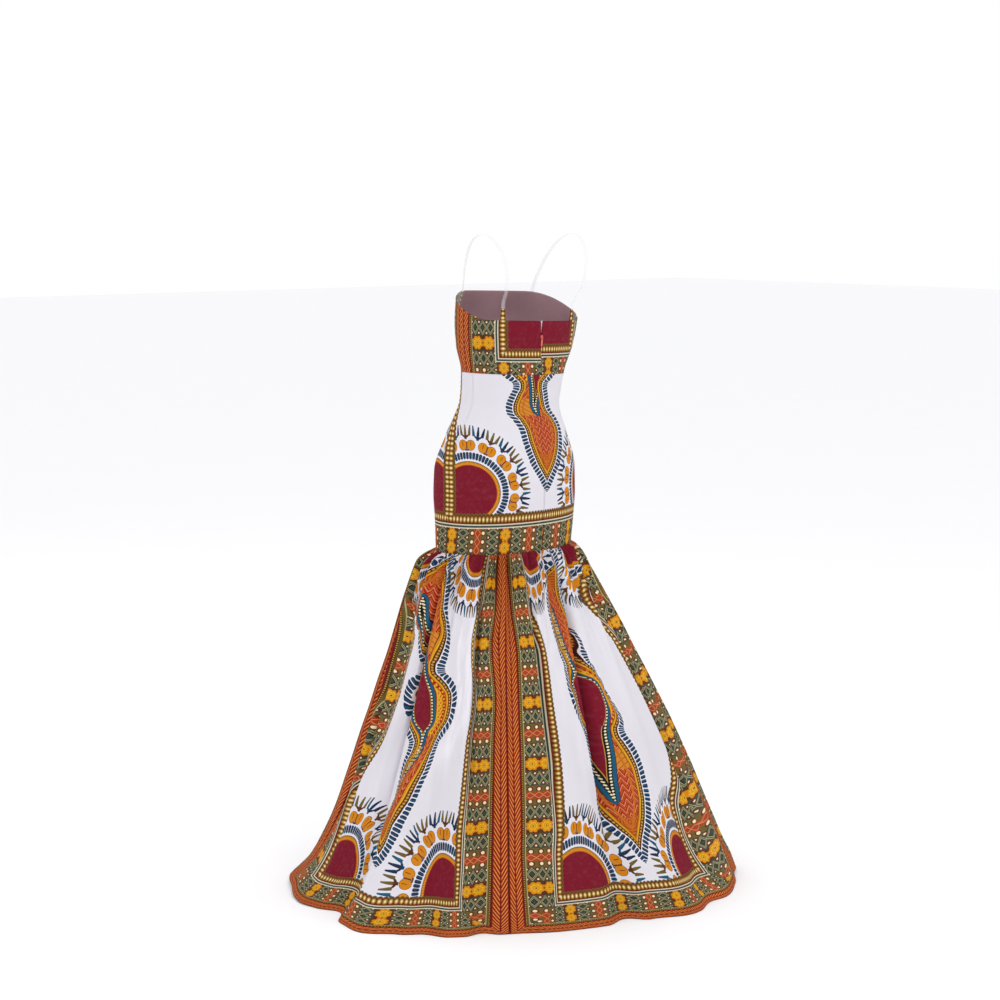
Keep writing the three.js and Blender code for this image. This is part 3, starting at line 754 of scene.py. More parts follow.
def skirt_print(across, up):
    size = SKIRT_PRINT
    turn = size["front"] - abs(abs(across) - size["front"])
    strip = abs(turn - size["strip"])
    leaning = across - up.profile(SKIRT_LEAF_AXIS)
    leaf = {"Up": (up - size["tip"]) / size["tall"], "Flame": size["flame"]}
    low, beside = (up - FLOUNCE_SEAM) * 0.9 + BAND["rule"], strip + size["chain_in"]
    along = up + (across * 1.2 + 140 + (across > 0) * (across * 0.1 - 110.6) - up) * (low < beside)
    return (("Medallion print", {"Across": (strip - size["disc_in"]) / size["tall"],
                                 "Up": (up - size["disc_up"]) / size["tall"]}),
            ("Leaf print", {"Across": leaning / -size["wide"], **leaf}),
            ("Leaf print", {"Across": (turn - size["front"]) / size["wide"], **leaf}),
            ("Border print", {"Edge": beside.least(low), "Along": along,
                              "Repeat": REPEAT["fitted_length"]}))


# Places on the bodice, round from the centre back and up from the back's top edge
BODICE_PRINT = {"front": 205, "beside": 81, "right_beside": 12, "below": -62, "right_below": 11}


def bodice_print(across, up):
    size = BODICE_PRINT
    right = across > 0
    turn = size["front"] - abs(abs(across) - size["front"])
    beside = turn - size["beside"] - right * size["right_beside"]
    below = right * size["right_below"] + size["below"] - up
    along = up + 68.5 + (across * 1.3 + 71.5 - up) * (below > beside)
    edge = BAND["field"] - beside.most(below)
    return (("Border print", {"Edge": edge, "Along": along, "Repeat": REPEAT["fitted_length"]}),)


def tab_print(across, up):
    return (("Border print", {"Edge": across + CHAIN["middle"], "Along": up}),)


def noise_at(tree, place, scale, detail):
    """Uneven values by place, from a node's output."""
    noise = tree.nodes.new("ShaderNodeTexNoise")
    noise.inputs["Scale"].default_value, noise.inputs["Detail"].default_value = scale, detail
    tree.links.new(place, noise.inputs["Vector"])
    return Shade(tree, noise.outputs["Fac"])


def make_weave():
    """Fine crossed threads, with the small unevenness of cotton that has been worn."""
    outs = {"Height": "Float", "Tone": "Float"}
    tree, at, end = effect("Cotton weave", {"Across": 0, "Up": 0, "Thread": 0.8, "Creases": 1}, outs)
    across, up, thread = at["Across"], at["Up"], at["Thread"]
    threads = (across / thread * math.tau).math("SINE") * (up / thread * math.tau).math("SINE")
    spot = tree.nodes.new("ShaderNodeCombineXYZ")
    for value, socket in zip((across, up), spot.inputs):
        tree.links.new((value / 1000).socket, socket)
    creases, fuzz = noise_at(tree, spot.outputs[0], 9, 3), noise_at(tree, spot.outputs[0], 60, 4)
    give(tree, end, Height=threads * 0.06 + creases * at["Creases"] + fuzz * 0.1, Tone=fuzz)


# Cotton and how a piece is laid

def new_material(name, roughness, **values):
    """An empty material with its shader's own sockets set. Returns it, its nodes and its shader."""
    material = bpy.data.materials.new(name)
    material.use_nodes = True
    shader = material.node_tree.nodes["Principled BSDF"]
    shader.inputs["Roughness"].default_value = roughness
    for label, value in values.items():
        shader.inputs[label.replace("_", " ")].default_value = value
    return material, material.node_tree, shader


def cloth_place(tree):
    """Millimetres across and up the piece's own cloth."""
    chart = tree.nodes.new("ShaderNodeUVMap")
    chart.uv_map = CHART
    parts = tree.nodes.new("ShaderNodeSeparateXYZ")
    tree.links.new(chart.outputs[0], parts.inputs[0])
    return [Shade(tree, parts.outputs[axis]) * 1000 for axis in "XY"]


def raise_surface(tree, shader, height, distance):
    bump = tree.nodes.new("ShaderNodeBump")
    bump.inputs["Distance"].default_value = distance
    tree.links.new(height.socket, bump.inputs["Height"])
    tree.links.new(bump.outputs[0], shader.inputs["Normal"])


def shade_into(tree, shade, socket):
    tree.links.new(shade.socket, socket)


def printed_cotton(name, group, worn=0.0, creases=1.0):
    """Matt cotton with a print. worn is how far the colour is washed out, as on the wrong side."""
    material, tree, shader = new_material(name, 0.85, Specular_IOR_Level=0.12)
    across, up = cloth_place(tree)
    cloth = Print(tree, "white")
    cloth.colour = use(tree, group, Across=across, Up=up)["Colour"]
    weave = use(tree, "Cotton weave", Across=across, Up=up, Creases=creases)
    cloth.lay(abs(weave["Tone"] - 0.5) * 0.1 + worn, "white")
    shade_into(tree, cloth.colour, shader.inputs["Base Color"])
    shade_into(tree, weave["Tone"] * 0.12 + 0.78, shader.inputs["Roughness"])
    raise_surface(tree, shader, weave["Height"], 0.004)
    return material


def start_piece(name):
    """Names the primitive just added and returns it."""
    piece = bpy.context.object
    piece.name = piece.data.name = name
    return piece


def only(piece):
    bpy.ops.object.select_all(action="DESELECT")
    bpy.context.view_layer.objects.active = piece
    piece.select_set(True)


def finish_piece(piece, body, slot, *nodes):
    """Applies what is live on a piece, hangs it on the body that carries it and hides the parts of the
    model that it stands for.
    """
    only(piece)
    for modifier in list(piece.modifiers):
        bpy.ops.object.modifier_apply(modifier=modifier.name)
    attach(piece, body)
    if nodes:
        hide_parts(*nodes)


def outward(face, across, down, step=1e-3):
    along = face(across + step, down) - face(across - step, down)
    fall = face(across, down + step) - face(across, down - step)
    normal = np.cross(fall, along)
    return normal / np.linalg.norm(normal, axis=-1)[..., None]


def moved_out(face, distance):
    """The same face, so many millimetres further out."""
    return lambda across, down: face(across, down) + outward(face, across, down) * distance


def cloth_piece(name, columns, rows, face, chart, materials, thickness, spread=lambda down: down):
    """A sheet of cloth: a grid laid on a face given in millimetres, charted, with its thickness."""
    bpy.ops.object.select_all(action="DESELECT")
    bpy.ops.mesh.primitive_grid_add(x_subdivisions=columns, y_subdivisions=rows, size=1)
    piece = start_piece(name)
    mesh = piece.data
    flat = np.empty(len(mesh.vertices) * 3)
    mesh.vertices.foreach_get("co", flat)
    flat = flat.reshape(-1, 3)
    across, down = flat[:, 0] + 0.5, spread(np.clip(0.5 - flat[:, 1], 0, 1))
    mesh.vertices.foreach_set("co", (face(across, down) * MM).ravel())
    corners = np.empty(len(mesh.loops), int)
    mesh.loops.foreach_get("vertex_index", corners)
    for old in list(mesh.uv_layers):
        mesh.uv_layers.remove(old)
    places = np.stack(chart(across, down), -1) * MM
    mesh.uv_layers.new(name=CHART).data.foreach_set("uv", places[corners].ravel())
    for material in materials:
        mesh.materials.append(material)
    bpy.ops.object.shade_smooth()
    wall = piece.modifiers.new("Wall", "SOLIDIFY")
    wall.thickness, wall.offset = thickness * MM, -1
    wall.material_offset = len(materials) - 1
    return piece


# Millimetres round the body at angles and heights, from the centre back, going left under the arm
# to the front, with the right back counted the other way
ARC_ANGLES, ARC_HEIGHTS = np.linspace(-185, 180, 731), np.linspace(-530, 75, 122)
ARC_POINTS = body_point(*np.meshgrid(ARC_ANGLES, ARC_HEIGHTS))
ARCS = np.insert(np.linalg.norm(np.diff(ARC_POINTS, axis=1), axis=2).cumsum(1), 0, 0, axis=1)
ARCS = ARCS - ARCS[:, [np.searchsorted(ARC_ANGLES, CENTRE_BACK)]]


def round_body(angle, z):
    angle = np.where(angle > RIGHT_SIDE + SEAM_ANGLE / 2, angle - 360, angle)
    column = np.interp(angle, ARC_ANGLES, np.arange(len(ARC_ANGLES)))
    row = np.interp(z, ARC_HEIGHTS, np.arange(len(ARC_HEIGHTS)))
    i = np.minimum(column.astype(int), len(ARC_ANGLES) - 2)
    j = np.minimum(row.astype(int), len(ARC_HEIGHTS) - 2)
    s, t = column - i, row - j
    return ((ARCS[j, i] * (1 - s) + ARCS[j, i + 1] * s) * (1 - t)
            + (ARCS[j + 1, i] * (1 - s) + ARCS[j + 1, i + 1] * s) * t)


def wrinkles(angle, z):
    """Soft pulls and creases of the fitted cloth, in millimetres."""
    a = np.radians(angle)
    waist = mound(z + 150, 90)
    seat = mound(z + 455, 80)
    pulls = waist * np.sin(z / 9 + 3 * np.sin(2 * a) + 1.3 * np.sin(5 * a))
    soft = np.sin(z / 31 + 2.1 * np.sin(3 * a + 1)) * np.sin(4 * a + z / 70)
    return 0.7 * pulls * mound(np.mod(angle + 180, 360) - 180 - 30, 120) + 0.9 * soft * (1 - seat) - 0.4


def fitted_face(side, top_at, bottom):
    def place(across, down):
        return fitted_place(side, top_at, bottom, across, down)

    def face(across, down):
        angle, z = place(across, down)
        return body_point(angle, z)

    def worn(across, down):
        angle, z = place(across, down)
        edge = mound(np.minimum(down, 1 - down) - 0.5, 0.5)
        edge = edge * mound(np.minimum(across, 1 - across) - 0.5, 0.5)
        pulls = wrinkles(angle, z) * edge ** 0.3
        return face(across, down) + outward(face, across, down) * pulls[..., None]
    return place, worn


def fitted_piece(part, side, top_at, bottom, rows, columns, cloths):
    """One fitted panel of the bodice or skirt, laid in its place on the body."""
    place, face = fitted_face(side, top_at, bottom)

    def chart(across, down):
        angle, z = place(across, down)
        return round_body(angle, z), z
    piece = cloth_piece(f"{part}_{side}_cloth", columns, rows, face, chart, cloths, CLOTH)
    slot = "print_cloth" if part == "bodice" else "skirt_cloth"
    finish_piece(piece, "dress", slot, f"{part}_{side}")


# Each fitted panel's columns, its flat size in metres and its area in square metres
BODICE_CUT = (
    ("back_left", 70, (0.2, 0.13), 0.0243), ("back_right", 70, (0.2, 0.13), 0.0247),
    ("front", 150, (0.42, 0.19), 0.078),
)
SKIRT_CUT = (
    ("back_left", 80, (0.25, 0.41), 0.094), ("back_right", 80, (0.25, 0.41), 0.094),
    ("front", 160, (0.5, 0.41), 0.19),
)
FLOUNCE = {"columns": 216, "rows": 150}
TUCKS = table(
    "along depth",
    (0, 0.2), (0.012, 0.9), (0.035, 1), (0.07, 0.75), (0.13, 0.5), (0.24, 0.2), (0.4, 0), (1, 0),
)
RIPPLES = table("along depth", (0, 0), (0.06, 0.6), (0.2, 1), (0.5, 0.85), (0.8, 0.4), (1, 0.2))


PLEATS = table(
    "top hem half_width depth ends",
    (0.45, 0.37, 0.03, -26, 0.9), (3.48, 3.35, 0.03, -26, 0.9), (3.2, 3.16, 0.03, -22, 0.9),
    (3.83, 3.86, 0.024, -16, 0.8), (0.2, 0.18, 0.024, -14, 0.8), (0.8, 0.82, 0.03, -20, 0.9),
    (1.1, 1.06, 0.035, -28, 0.95), (1.4, 1.44, 0.035, -30, 0.95), (1.8, 1.84, 0.035, -28, 0.95),
    (2.2, 2.18, 0.035, -28, 0.95), (2.6, 2.58, 0.035, -28, 0.95), (3.0, 3.02, 0.035, -26, 0.95),
)


def tucks(place, along):
    """Fine gathers inside the larger ones, and the ripples and pleats that run on from them."""
    turn = 2 * np.pi * gathers_to(place)
    fine = 5.6 * between(TUCKS, "along", "depth", along) * np.sin(3 * turn + np.sin(turn * 0.37))
    lap = np.mod(place, PANELS)
    hidden = smooth(lap, 0.75, 1) * (1 - smooth(lap, 3, 3.25))
    long_waves = np.cos(turn + 0.8 * np.sin(turn / 7)) + 0.6 * np.cos(turn / 2 + 2 * np.sin(turn / 5))
    creases = np.sin(along * 37 + 3 * np.sin(place * 9.3)) * np.sin(place * 41 + along * 9)
    pleats = 0
    for top, hem, half_width, deep, ends in zip(*PLEATS.values()):
        apart = np.mod(place - top - (hem - top) * along + 2, PANELS) - 2
        fades = smooth(along, 0.02, 0.22) * (1 - smooth(along, 0.5, ends))
        pleats = pleats + deep * mound(apart, half_width) * fades
    ripples = (2.6 + 5.6 * hidden) * between(RIPPLES, "along", "depth", along) * long_waves
    creases = 0.5 * creases * smooth(along, 0.1, 0.3) * (1 - smooth(along, 0.9, 1))
    return fine + pleats + ripples + creases


# Where lines of the print lie across the panels that show, in panels, by how far down they are.
# The names are the lines' millimetres across the flat panel. Cloth between them is taken up in folds.
TAKEN_UP = {
    "back": table(
        "along 46 73 132 275 300 325 395 430 480 572 677 704",
        (0, 0.06, 0.097, 0.176, 0.34, 0.37, 0.4, 0.48, 0.52, 0.57, 0.72, 0.88, 0.94),
        (0.15, 0.065, 0.1, 0.2, 0.275, 0.283, 0.29, 0.37, 0.4, 0.43, 0.51, 0.77, 0.9),
        (0.28, 0.085, 0.137, 0.24, 0.3, 0.307, 0.315, 0.4, 0.478, 0.49, 0.66, 0.85, 0.985),
        (0.41, 0.08, 0.136, 0.235, 0.332, 0.355, 0.36, 0.504, 0.53, 0.54, 0.7, 0.875, 0.99),
        (0.55, 0.075, 0.133, 0.234, 0.36, 0.366, 0.371, 0.5, 0.572, 0.64, 0.74, 0.862, 0.99),
        (0.64, 0.07, 0.12, 0.225, 0.365, 0.37, 0.38, 0.5, 0.556, 0.62, 0.7, 0.85, 0.985),
        (0.72, 0.065, 0.115, 0.21, 0.33, 0.355, 0.395, 0.505, 0.55, 0.595, 0.64, 0.8, 0.97),
        (0.78, 0.06, 0.112, 0.19, 0.355, 0.39, 0.425, 0.51, 0.545, 0.585, 0.64, 0.775, 0.95),
        (0.9, 0.06, 0.114, 0.175, 0.37, 0.4, 0.435, 0.525, 0.57, 0.6, 0.66, 0.8, 0.93),
        (1, 0.06, 0.105, 0.17, 0.36, 0.39, 0.42, 0.52, 0.565, 0.62, 0.72, 0.84, 0.92),
    ),
    "right": table(
        "along 46 132 375 618 677",
        (0, 0.02, 0.15, 0.5, 0.824, 0.903),
        (0.15, 0.008, 0.13, 0.5, 0.824, 0.903),
        (0.8, 0.008, 0.13, 0.5, 0.824, 0.903),
        (1, 0.05, 0.17, 0.5, 0.824, 0.903),
    ),
    "left": table(
        "along 46 73 132 275 300 325 395 430 480 572 677 704",
        (0, 0.06, 0.1, 0.176, 0.3, 0.33, 0.36, 0.5, 0.56, 0.63, 0.763, 0.903, 0.94),
        (0.14, 0.13, 0.21, 0.24, 0.25, 0.255, 0.262, 0.47, 0.548, 0.6, 0.75, 0.885, 0.93),
        (0.24, 0.17, 0.3, 0.35, 0.36, 0.367, 0.376, 0.5, 0.62, 0.69, 0.76, 0.84, 0.9),
        (0.4, 0.18, 0.3, 0.335, 0.352, 0.42, 0.48, 0.594, 0.67, 0.75, 0.8, 0.882, 0.935),
        (0.5, 0.12, 0.25, 0.3, 0.43, 0.48, 0.53, 0.645, 0.68, 0.72, 0.775, 0.88, 0.93),
        (0.63, 0.06, 0.13, 0.22, 0.49, 0.508, 0.512, 0.52, 0.6, 0.66, 0.76, 0.88, 0.93),
        (0.7, 0.03, 0.06, 0.18, 0.42, 0.455, 0.462, 0.5, 0.58, 0.64, 0.752, 0.879, 0.93),
        (0.77, 0.025, 0.05, 0.19, 0.335, 0.345, 0.36, 0.53, 0.6, 0.685, 0.765, 0.879, 0.93),
        (0.87, 0.03, 0.059, 0.21, 0.34, 0.35, 0.37, 0.55, 0.615, 0.692, 0.78, 0.877, 0.93),
        (1, 0.04, 0.07, 0.19, 0.35, 0.38, 0.42, 0.54, 0.61, 0.69, 0.79, 0.89, 0.93),
    ),
}
# Panels cut with the leaf the other way up
TURNED = ("left", "right")
# How much of the border at the hem curls in under the dress
CURL = {"taken": 48, "within": 25}


def across_panel(side, places, along):
    """Millimetres across the flat panel at places of one level line round it."""
    lines = TAKEN_UP.get(side)
    if not lines:
        return places * PANEL_WIDTH
    names = [name for name in lines if name != "along"]
    at = [float(between(lines, "along", name, np.array([along]))[0]) for name in names]
    flat = [float(name) for name in names]
    both = {"place": np.array([0, *at, 1]), "line": np.array([0, *flat, PANEL_WIDTH])}
    return between(both, "place", "line", places)


def flounce_chart(i, side):
    """Millimetres across a flounce panel and up from its hem, along the cloth."""
    places, steps = np.linspace(0, 1, 61), np.linspace(0, 1, 121)
    points = flounce_point(*np.meshgrid(i + places, steps))
    lengths = np.linalg.norm(np.diff(points, axis=0), axis=2)
    up = np.insert(lengths[::-1].cumsum(0), 0, 0, axis=0)[::-1]
    up = up / up[0] * (PANEL_LENGTH - CURL["taken"])
    up = up + CURL["taken"] * (1 - np.exp(-up / CURL["within"]))
    # Kept just inside the width, because the print tells the turned panels by what lies beyond it
    wide = np.stack([across_panel(side, places, along) for along in steps]) * 0.9999
    wide = wide + PANEL_WIDTH * (side in TURNED)

    def chart(across, down):
        row, column = np.clip(down, 0, 1) * 120, np.clip(across, 0, 1) * 60
        j, k = np.minimum(row.astype(int), 119), np.minimum(column.astype(int), 59)
        t, s = row - j, column - k
        return [(value[j, k] * (1 - s) + value[j, k + 1] * s) * (1 - t)
                + (value[j + 1, k] * (1 - s) + value[j + 1, k + 1] * s) * t for value in (wide, up)]
    return chart


def flounce_piece(side, i, cloths):
    def face(across, down):
        return flounce_point(i + JOINT_GAP + (1 - 2 * JOINT_GAP) * across, down, tucks)
    piece = cloth_piece(f"flounce_{side}_cloth", FLOUNCE["columns"], FLOUNCE["rows"], face,
                        flounce_chart(i, side), cloths, CLOTH, spread=lambda down: down ** 1.35)
    finish_piece(piece, "dress", "print_cloth", f"flounce_{side}")


# Tabs, straps and zip

def tab_face(sign):
    """The cloth tab on the back's top edge that holds a strap."""
    middle = CENTRE_BACK - sign * TAB["from_centre"]

    def face(across, down):
        z = SEAM_GAP + (TAB["height"] - SEAM_GAP) * (1 - down)
        half = TAB["width"] / 2 * (1 - TAB["taper"] * (1 - down))
        return body_point(middle + np.degrees(half / section("half_width", z)) * (2 * across - 1), z)
    return face


def strap_curve(points):
    """A smooth line through points, even by distance, as places from 0 to 1 along it."""
    ends = [2 * points[0] - points[1], *points, 2 * points[-1] - points[-2]]
    line = []
    for p0, p1, p2, p3 in zip(ends, ends[1:], ends[2:], ends[3:]):
        d0, d1, d2 = (max(np.linalg.norm(b - a) ** 0.5, 1e-4) for a, b in ((p0, p1), (p1, p2), (p2, p3)))
        start = ((p1 - p0) / d0 - (p2 - p0) / (d0 + d1) + (p2 - p1) / d1) * d1
        end = ((p2 - p1) / d1 - (p3 - p1) / (d1 + d2) + (p3 - p2) / d2) * d1
        line += [hermite(t, p1, p2, start, end) for t in np.linspace(0, 1, 40, endpoint=False)]
    line = np.array([*line, points[-1]])
    reach = np.insert(np.linalg.norm(np.diff(line, axis=0), axis=1).cumsum(), 0, 0)
    return lambda t: np.stack([np.interp(t * reach[-1], reach, line[:, k]) for k in range(3)], -1)


def strap_end(angle, z):
    def face(across, down):
        return body_point(angle + across, z - down)
    zero = np.zeros(1)
    return (face(zero, zero) - outward(face, zero, zero) * (CLOTH - STRAP["thick"]) / 2)[0]


def along_cloth(angle, z):
    step = body_point(np.array([angle + 1.0]), z)[0] - body_point(np.array([angle - 1.0]), z)[0]
    step[2] = 0
    return step / np.linalg.norm(step) * (-1 if step[0] < 0 else 1)


def strap_face(sign):
    tab_angle = CENTRE_BACK - sign * TAB["from_centre"]
    front_angle = CENTRE_BACK - sign * STRAP["front_from_centre"]
    front_top = top_edge(np.float64(front_angle))
    route = placed(sign * STRAP_ROUTE["across"], STRAP_ROUTE["back"], SECTIONS["z"][-1])
    route[:, 2] = STRAP_ROUTE["z"]
    starts = [strap_end(tab_angle, TAB["height"] + STRAP[lead]) for lead in ("sewn", "lead")]
    ends = [strap_end(front_angle, front_top + STRAP[lead]) for lead in ("lead", "sewn")]
    curve = strap_curve([*starts, *route, *ends])
    turn = np.radians(section("turn", ZIP["slider_top"] - 4.5))
    level = np.array([np.cos(turn), np.sin(turn), 0])
    at_tab, at_front = along_cloth(tab_angle, TAB["height"]), along_cloth(front_angle, front_top)

    def face(across, down):
        t = np.clip(down, 0, 1)
        share = smooth(t, STRAP_TWIST["leaves"], STRAP_TWIST["level"])[..., None]
        flat = at_tab * (1 - share) + level * share
        share = smooth(t, STRAP_TWIST["turns"], STRAP_TWIST["meets"])[..., None]
        flat = flat * (1 - share) + at_front * share
        flat = flat / np.linalg.norm(flat, axis=-1)[..., None]
        return curve(t) + flat * (STRAP["width"] * (across - 0.5))[..., None]
    return face


def flat_chart(width, height):
    return lambda across, down: ((across - 0.5) * width, (1 - down) * height)


def tab_and_strap(side, sign, print_on_tab, film):
    tab = cloth_piece(f"strap_tab_{side}_cloth", 16, 24, tab_face(sign),
                      flat_chart(TAB["width"], TAB["height"]), [print_on_tab], CLOTH)
    finish_piece(tab, "dress", "tab_cloth", f"strap_tab_{side}")
    strap = cloth_piece(f"strap_{side}_film", 4, 160, moved_out(strap_face(sign), -0.2),
                        flat_chart(STRAP["width"], STRAP["length"]), [film], 0.6)
    finish_piece(strap, "dress", "clear_strap", f"strap_{side}")


def zip_tape(side, sign, weave):
    """A white tape behind one back, beside the closed teeth."""
    def face(across, down):
        z = ZIP["end"] * down
        near, far = beside_seam(ZIP["meet"] / 2, z), beside_seam(ZIP["meet"] / 2 + ZIP["tape_width"], z)
        beside = near + (far - near) * across if sign > 0 else -far + (far - near) * across
        return body_point(CENTRE_BACK + beside, z)
    tape = cloth_piece(f"zip_tape_{side}_weave", 8, 220, moved_out(face, -CLOTH - 0.7),
                       flat_chart(ZIP["tape_width"], -ZIP["end"]), [weave], 0.8)
    finish_piece(tape, "dress", "zip_tape", f"zip_tape_{side}")


TOOTH = {"reach": 1.0, "wire": 0.3, "pitch": 1.35, "behind": 2.4, "first": -1.5}


def one_tooth():
    """One turn of the nylon coil, as a small flattened ring, at the origin."""
    bpy.ops.object.select_all(action="DESELECT")
    bpy.ops.mesh.primitive_torus_add(major_segments=10, minor_segments=6,
                                     major_radius=TOOTH["reach"] * MM, minor_radius=TOOTH["wire"] * MM)
    tooth = start_piece("zip_tooth")
    bpy.ops.object.mode_set(mode="EDIT")
    bpy.ops.mesh.select_all(action="SELECT")
    bpy.ops.transform.resize(value=(1, 0.55, 1))
    bpy.ops.object.mode_set(mode="OBJECT")
    return tooth


def row_of_teeth(side, sign, nylon):
    """Copies of one tooth down the edge of a tape, from the top of the zip to its end."""
    tooth = one_tooth()
    tooth.data.materials.append(nylon)
    bpy.ops.object.shade_smooth()
    shape = np.array([tuple(vertex.co) for vertex in tooth.data.vertices])
    row = []
    for z in np.arange(TOOTH["first"], ZIP["end"], -TOOTH["pitch"]):
        gap = np.maximum(zip_half_gap(z) - 0.15, 0.35) if z > ZIP["slider_top"] else 0.55
        angle = CENTRE_BACK + sign * beside_seam(gap + 0.35, z)
        place = np.array([float(angle)])
        here = body_point(place, np.array([z]))[0]
        way = body_point(place + 0.5, np.array([z]))[0] - here
        way = way / np.linalg.norm(way)
        out = np.array([way[1], -way[0], 0])
        middle = (here - out * TOOTH["behind"]) * MM
        spot = middle + shape @ np.stack([way, out, (0, 0, 1)])
        copy = tooth.copy()
        copy.data = tooth.data.copy()
        copy.data.vertices.foreach_set("co", spot.ravel())
        bpy.context.scene.collection.objects.link(copy)
        row.append(copy)
    bpy.data.objects.remove(tooth)
    only(row[0])
    for copy in row:
        copy.select_set(True)
    bpy.ops.object.join()
    finish_piece(start_piece(f"zip_teeth_{side}"), "dress", "zip_tape")


def enamelled(node, body, enamel, edge):
    """A copy of a metal part of the zip with softly rounded edges."""
    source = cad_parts[node]
    piece = bpy.data.objects.new(f"{node}_enamel", source.data.copy())
    bpy.context.scene.collection.objects.link(piece)
    only(piece)
    bpy.ops.object.mode_set(mode="EDIT")
    bpy.ops.mesh.select_all(action="SELECT")
    bpy.ops.mesh.remove_doubles(threshold=1e-6)
    bpy.ops.mesh.tris_convert_to_quads()
    bpy.ops.object.mode_set(mode="OBJECT")
    piece.data.materials.clear()
    piece.data.materials.append(enamel)
    bevel = piece.modifiers.new("Edges", "BEVEL")
    bevel.width, bevel.segments, bevel.limit_method = edge * MM, 3, "ANGLE"
    finish_piece(piece, body, "zip_coral", node)
    only(piece)
    bpy.ops.object.shade_smooth_by_angle(angle=math.radians(35))


PIECE_PRINTS = (
    ("Flounce print", "white", flounce_print), ("Skirt print", "white", skirt_print),
    ("Bodice print", "maroon", bodice_print), ("Tab print", "maroon", tab_print),
)


def prepare_prints():
    """Makes the shared shader groups once."""
    if "Border print" not in bpy.data.node_groups:
        for make in (make_border, make_medallion, make_leaf, make_weave):
            make()
        for name, ground, layout in PIECE_PRINTS:
            make_piece_print(name, ground, layout)


def both_sides(name, look):
    """The print on the face of the cloth, and the paler print that shows on its wrong side."""
    prepare_prints()
    return [printed_cotton(name, name, 0, look.creases),
            printed_cotton(name + " wrong side", name, look.wrong_side, look.creases)]


def zip_tape_cotton():
    material, tree, shader = new_material("Zip tape weave", 0.72, Specular_IOR_Level=0.3)
    across, up = cloth_place(tree)
    twill = (across * 0.7 + up).repeat(1.1).near(0, 0.3)
    cloth = Print(tree, "tape")
    cloth.lay(twill * 0.25, "white")
    shade_into(tree, cloth.colour, shader.inputs["Base Color"])
    raise_surface(tree, shader, twill, 0.0001)
    return material


def nylon_white():
    material, tree, shader = new_material("Zip nylon", 0.35)
    grime = object_noise(tree, 900, 3)
    cloth = Print(tree, "tape")
    cloth.lay(grime * 0.3, "bead")
    shade_into(tree, cloth.colour, shader.inputs["Base Color"])
    return material


def object_noise(tree, scale, detail):
    """Uneven values through a piece, by its place in the dress."""
    return noise_at(tree, tree.nodes.new("ShaderNodeTexCoord").outputs["Object"], scale, detail)


def coral_enamel():
    material, tree, shader = new_material("Coral enamel", 0.3, Coat_Weight=0.4, Coat_Roughness=0.15)
    wear = object_noise(tree, 700, 4)
    paint = Print(tree, "coral")
    paint.lay((wear > 0.64) * 0.5, "rust")
    shade_into(tree, paint.colour, shader.inputs["Base Color"])
    shade_into(tree, wear * 0.25 + 0.2, shader.inputs["Roughness"])
    raise_surface(tree, shader, wear, 0.00008)
    return material


def clear_film():
    """Soft clear plastic with the faint scratches of a removable strap."""
    material, tree, shader = new_material("Clear strap film", 0.12, IOR=1.42, Alpha=0.16, Coat_Weight=0.3)
    scratch = object_noise(tree, 300, 5)
    film = Print(tree, "film")
    film.lay(scratch * 0.3, "white")
    shade_into(tree, film.colour, shader.inputs["Base Color"])
    shade_into(tree, scratch * 0.3 + 0.1, shader.inputs["Roughness"])
    raise_surface(tree, shader, scratch, 0.0001)
    return material


def studio_floor():
    material, tree, shader = new_material("Pale floor", 0.85, Specular_IOR_Level=0.1)
    paint = Print(tree, "floor")
    paint.lay(object_noise(tree, 3, 2) * 0.06, "film")
    shade_into(tree, paint.colour, shader.inputs["Base Color"])
    return material


# The studio

SENSOR = 36
CAMERA = {"azimuth": 140, "distance": 5000, "height": 260, "aim": -420, "axis_at": 7 / 1000, "lens": 78.26}


def place_camera():
    """A camera behind and to the left of the wearer, a little above the top of the back."""
    size = CAMERA
    azimuth = math.radians(size["azimuth"])
    back = Vector((math.sin(azimuth), -math.cos(azimuth), 0))
    pitch = math.atan((size["height"] - size["aim"]) / size["distance"])
    yaw = math.atan(size["axis_at"] * SENSOR / size["lens"])
    forward = -back * math.cos(pitch) - Vector((0, 0, math.sin(pitch)))
    right = forward.cross(Vector((0, 0, 1))).normalized()
    forward = (forward * math.cos(yaw) - right * math.sin(yaw)).normalized()
    right = forward.cross(Vector((0, 0, 1))).normalized()
    turn = Matrix((right, right.cross(forward), -forward)).transposed()
    camera = bpy.data.objects.new("Camera", bpy.data.cameras.new("Camera"))
    camera.data.lens, camera.data.sensor_width = size["lens"], SENSOR
    place = (back * size["distance"] + Vector((0, 0, size["height"]))) * MM
    camera.matrix_world = Matrix.Translation(place) @ turn.to_4x4()
    bpy.context.scene.collection.objects.link(camera)
    bpy.context.scene.camera = camera


LIGHTS = (
    # place in metres, size, share of the light
    ((1.2, 3.6, 2.2), 3.0, 1.0),
    ((4.0, 1.0, 1.4), 3.0, 0.55),
    ((-2.5, 3.0, 1.2), 2.5, 0.45),
    ((0.5, -3.5, 2.5), 3.0, 0.5),
)


def place_lights(watts):
    for i, (place, size, share) in enumerate(LIGHTS):
        light = bpy.data.lights.new(f"Softbox {i + 1}", "AREA")
        light.size, light.energy = size, watts * share
        lamp = bpy.data.objects.new(light.name, light)
        lamp.location = place
        lamp.rotation_euler = (Vector((0, 0, -0.5)) - lamp.location).to_track_quat("-Z", "Y").to_euler()
        bpy.context.scene.collection.objects.link(lamp)


# The add-on

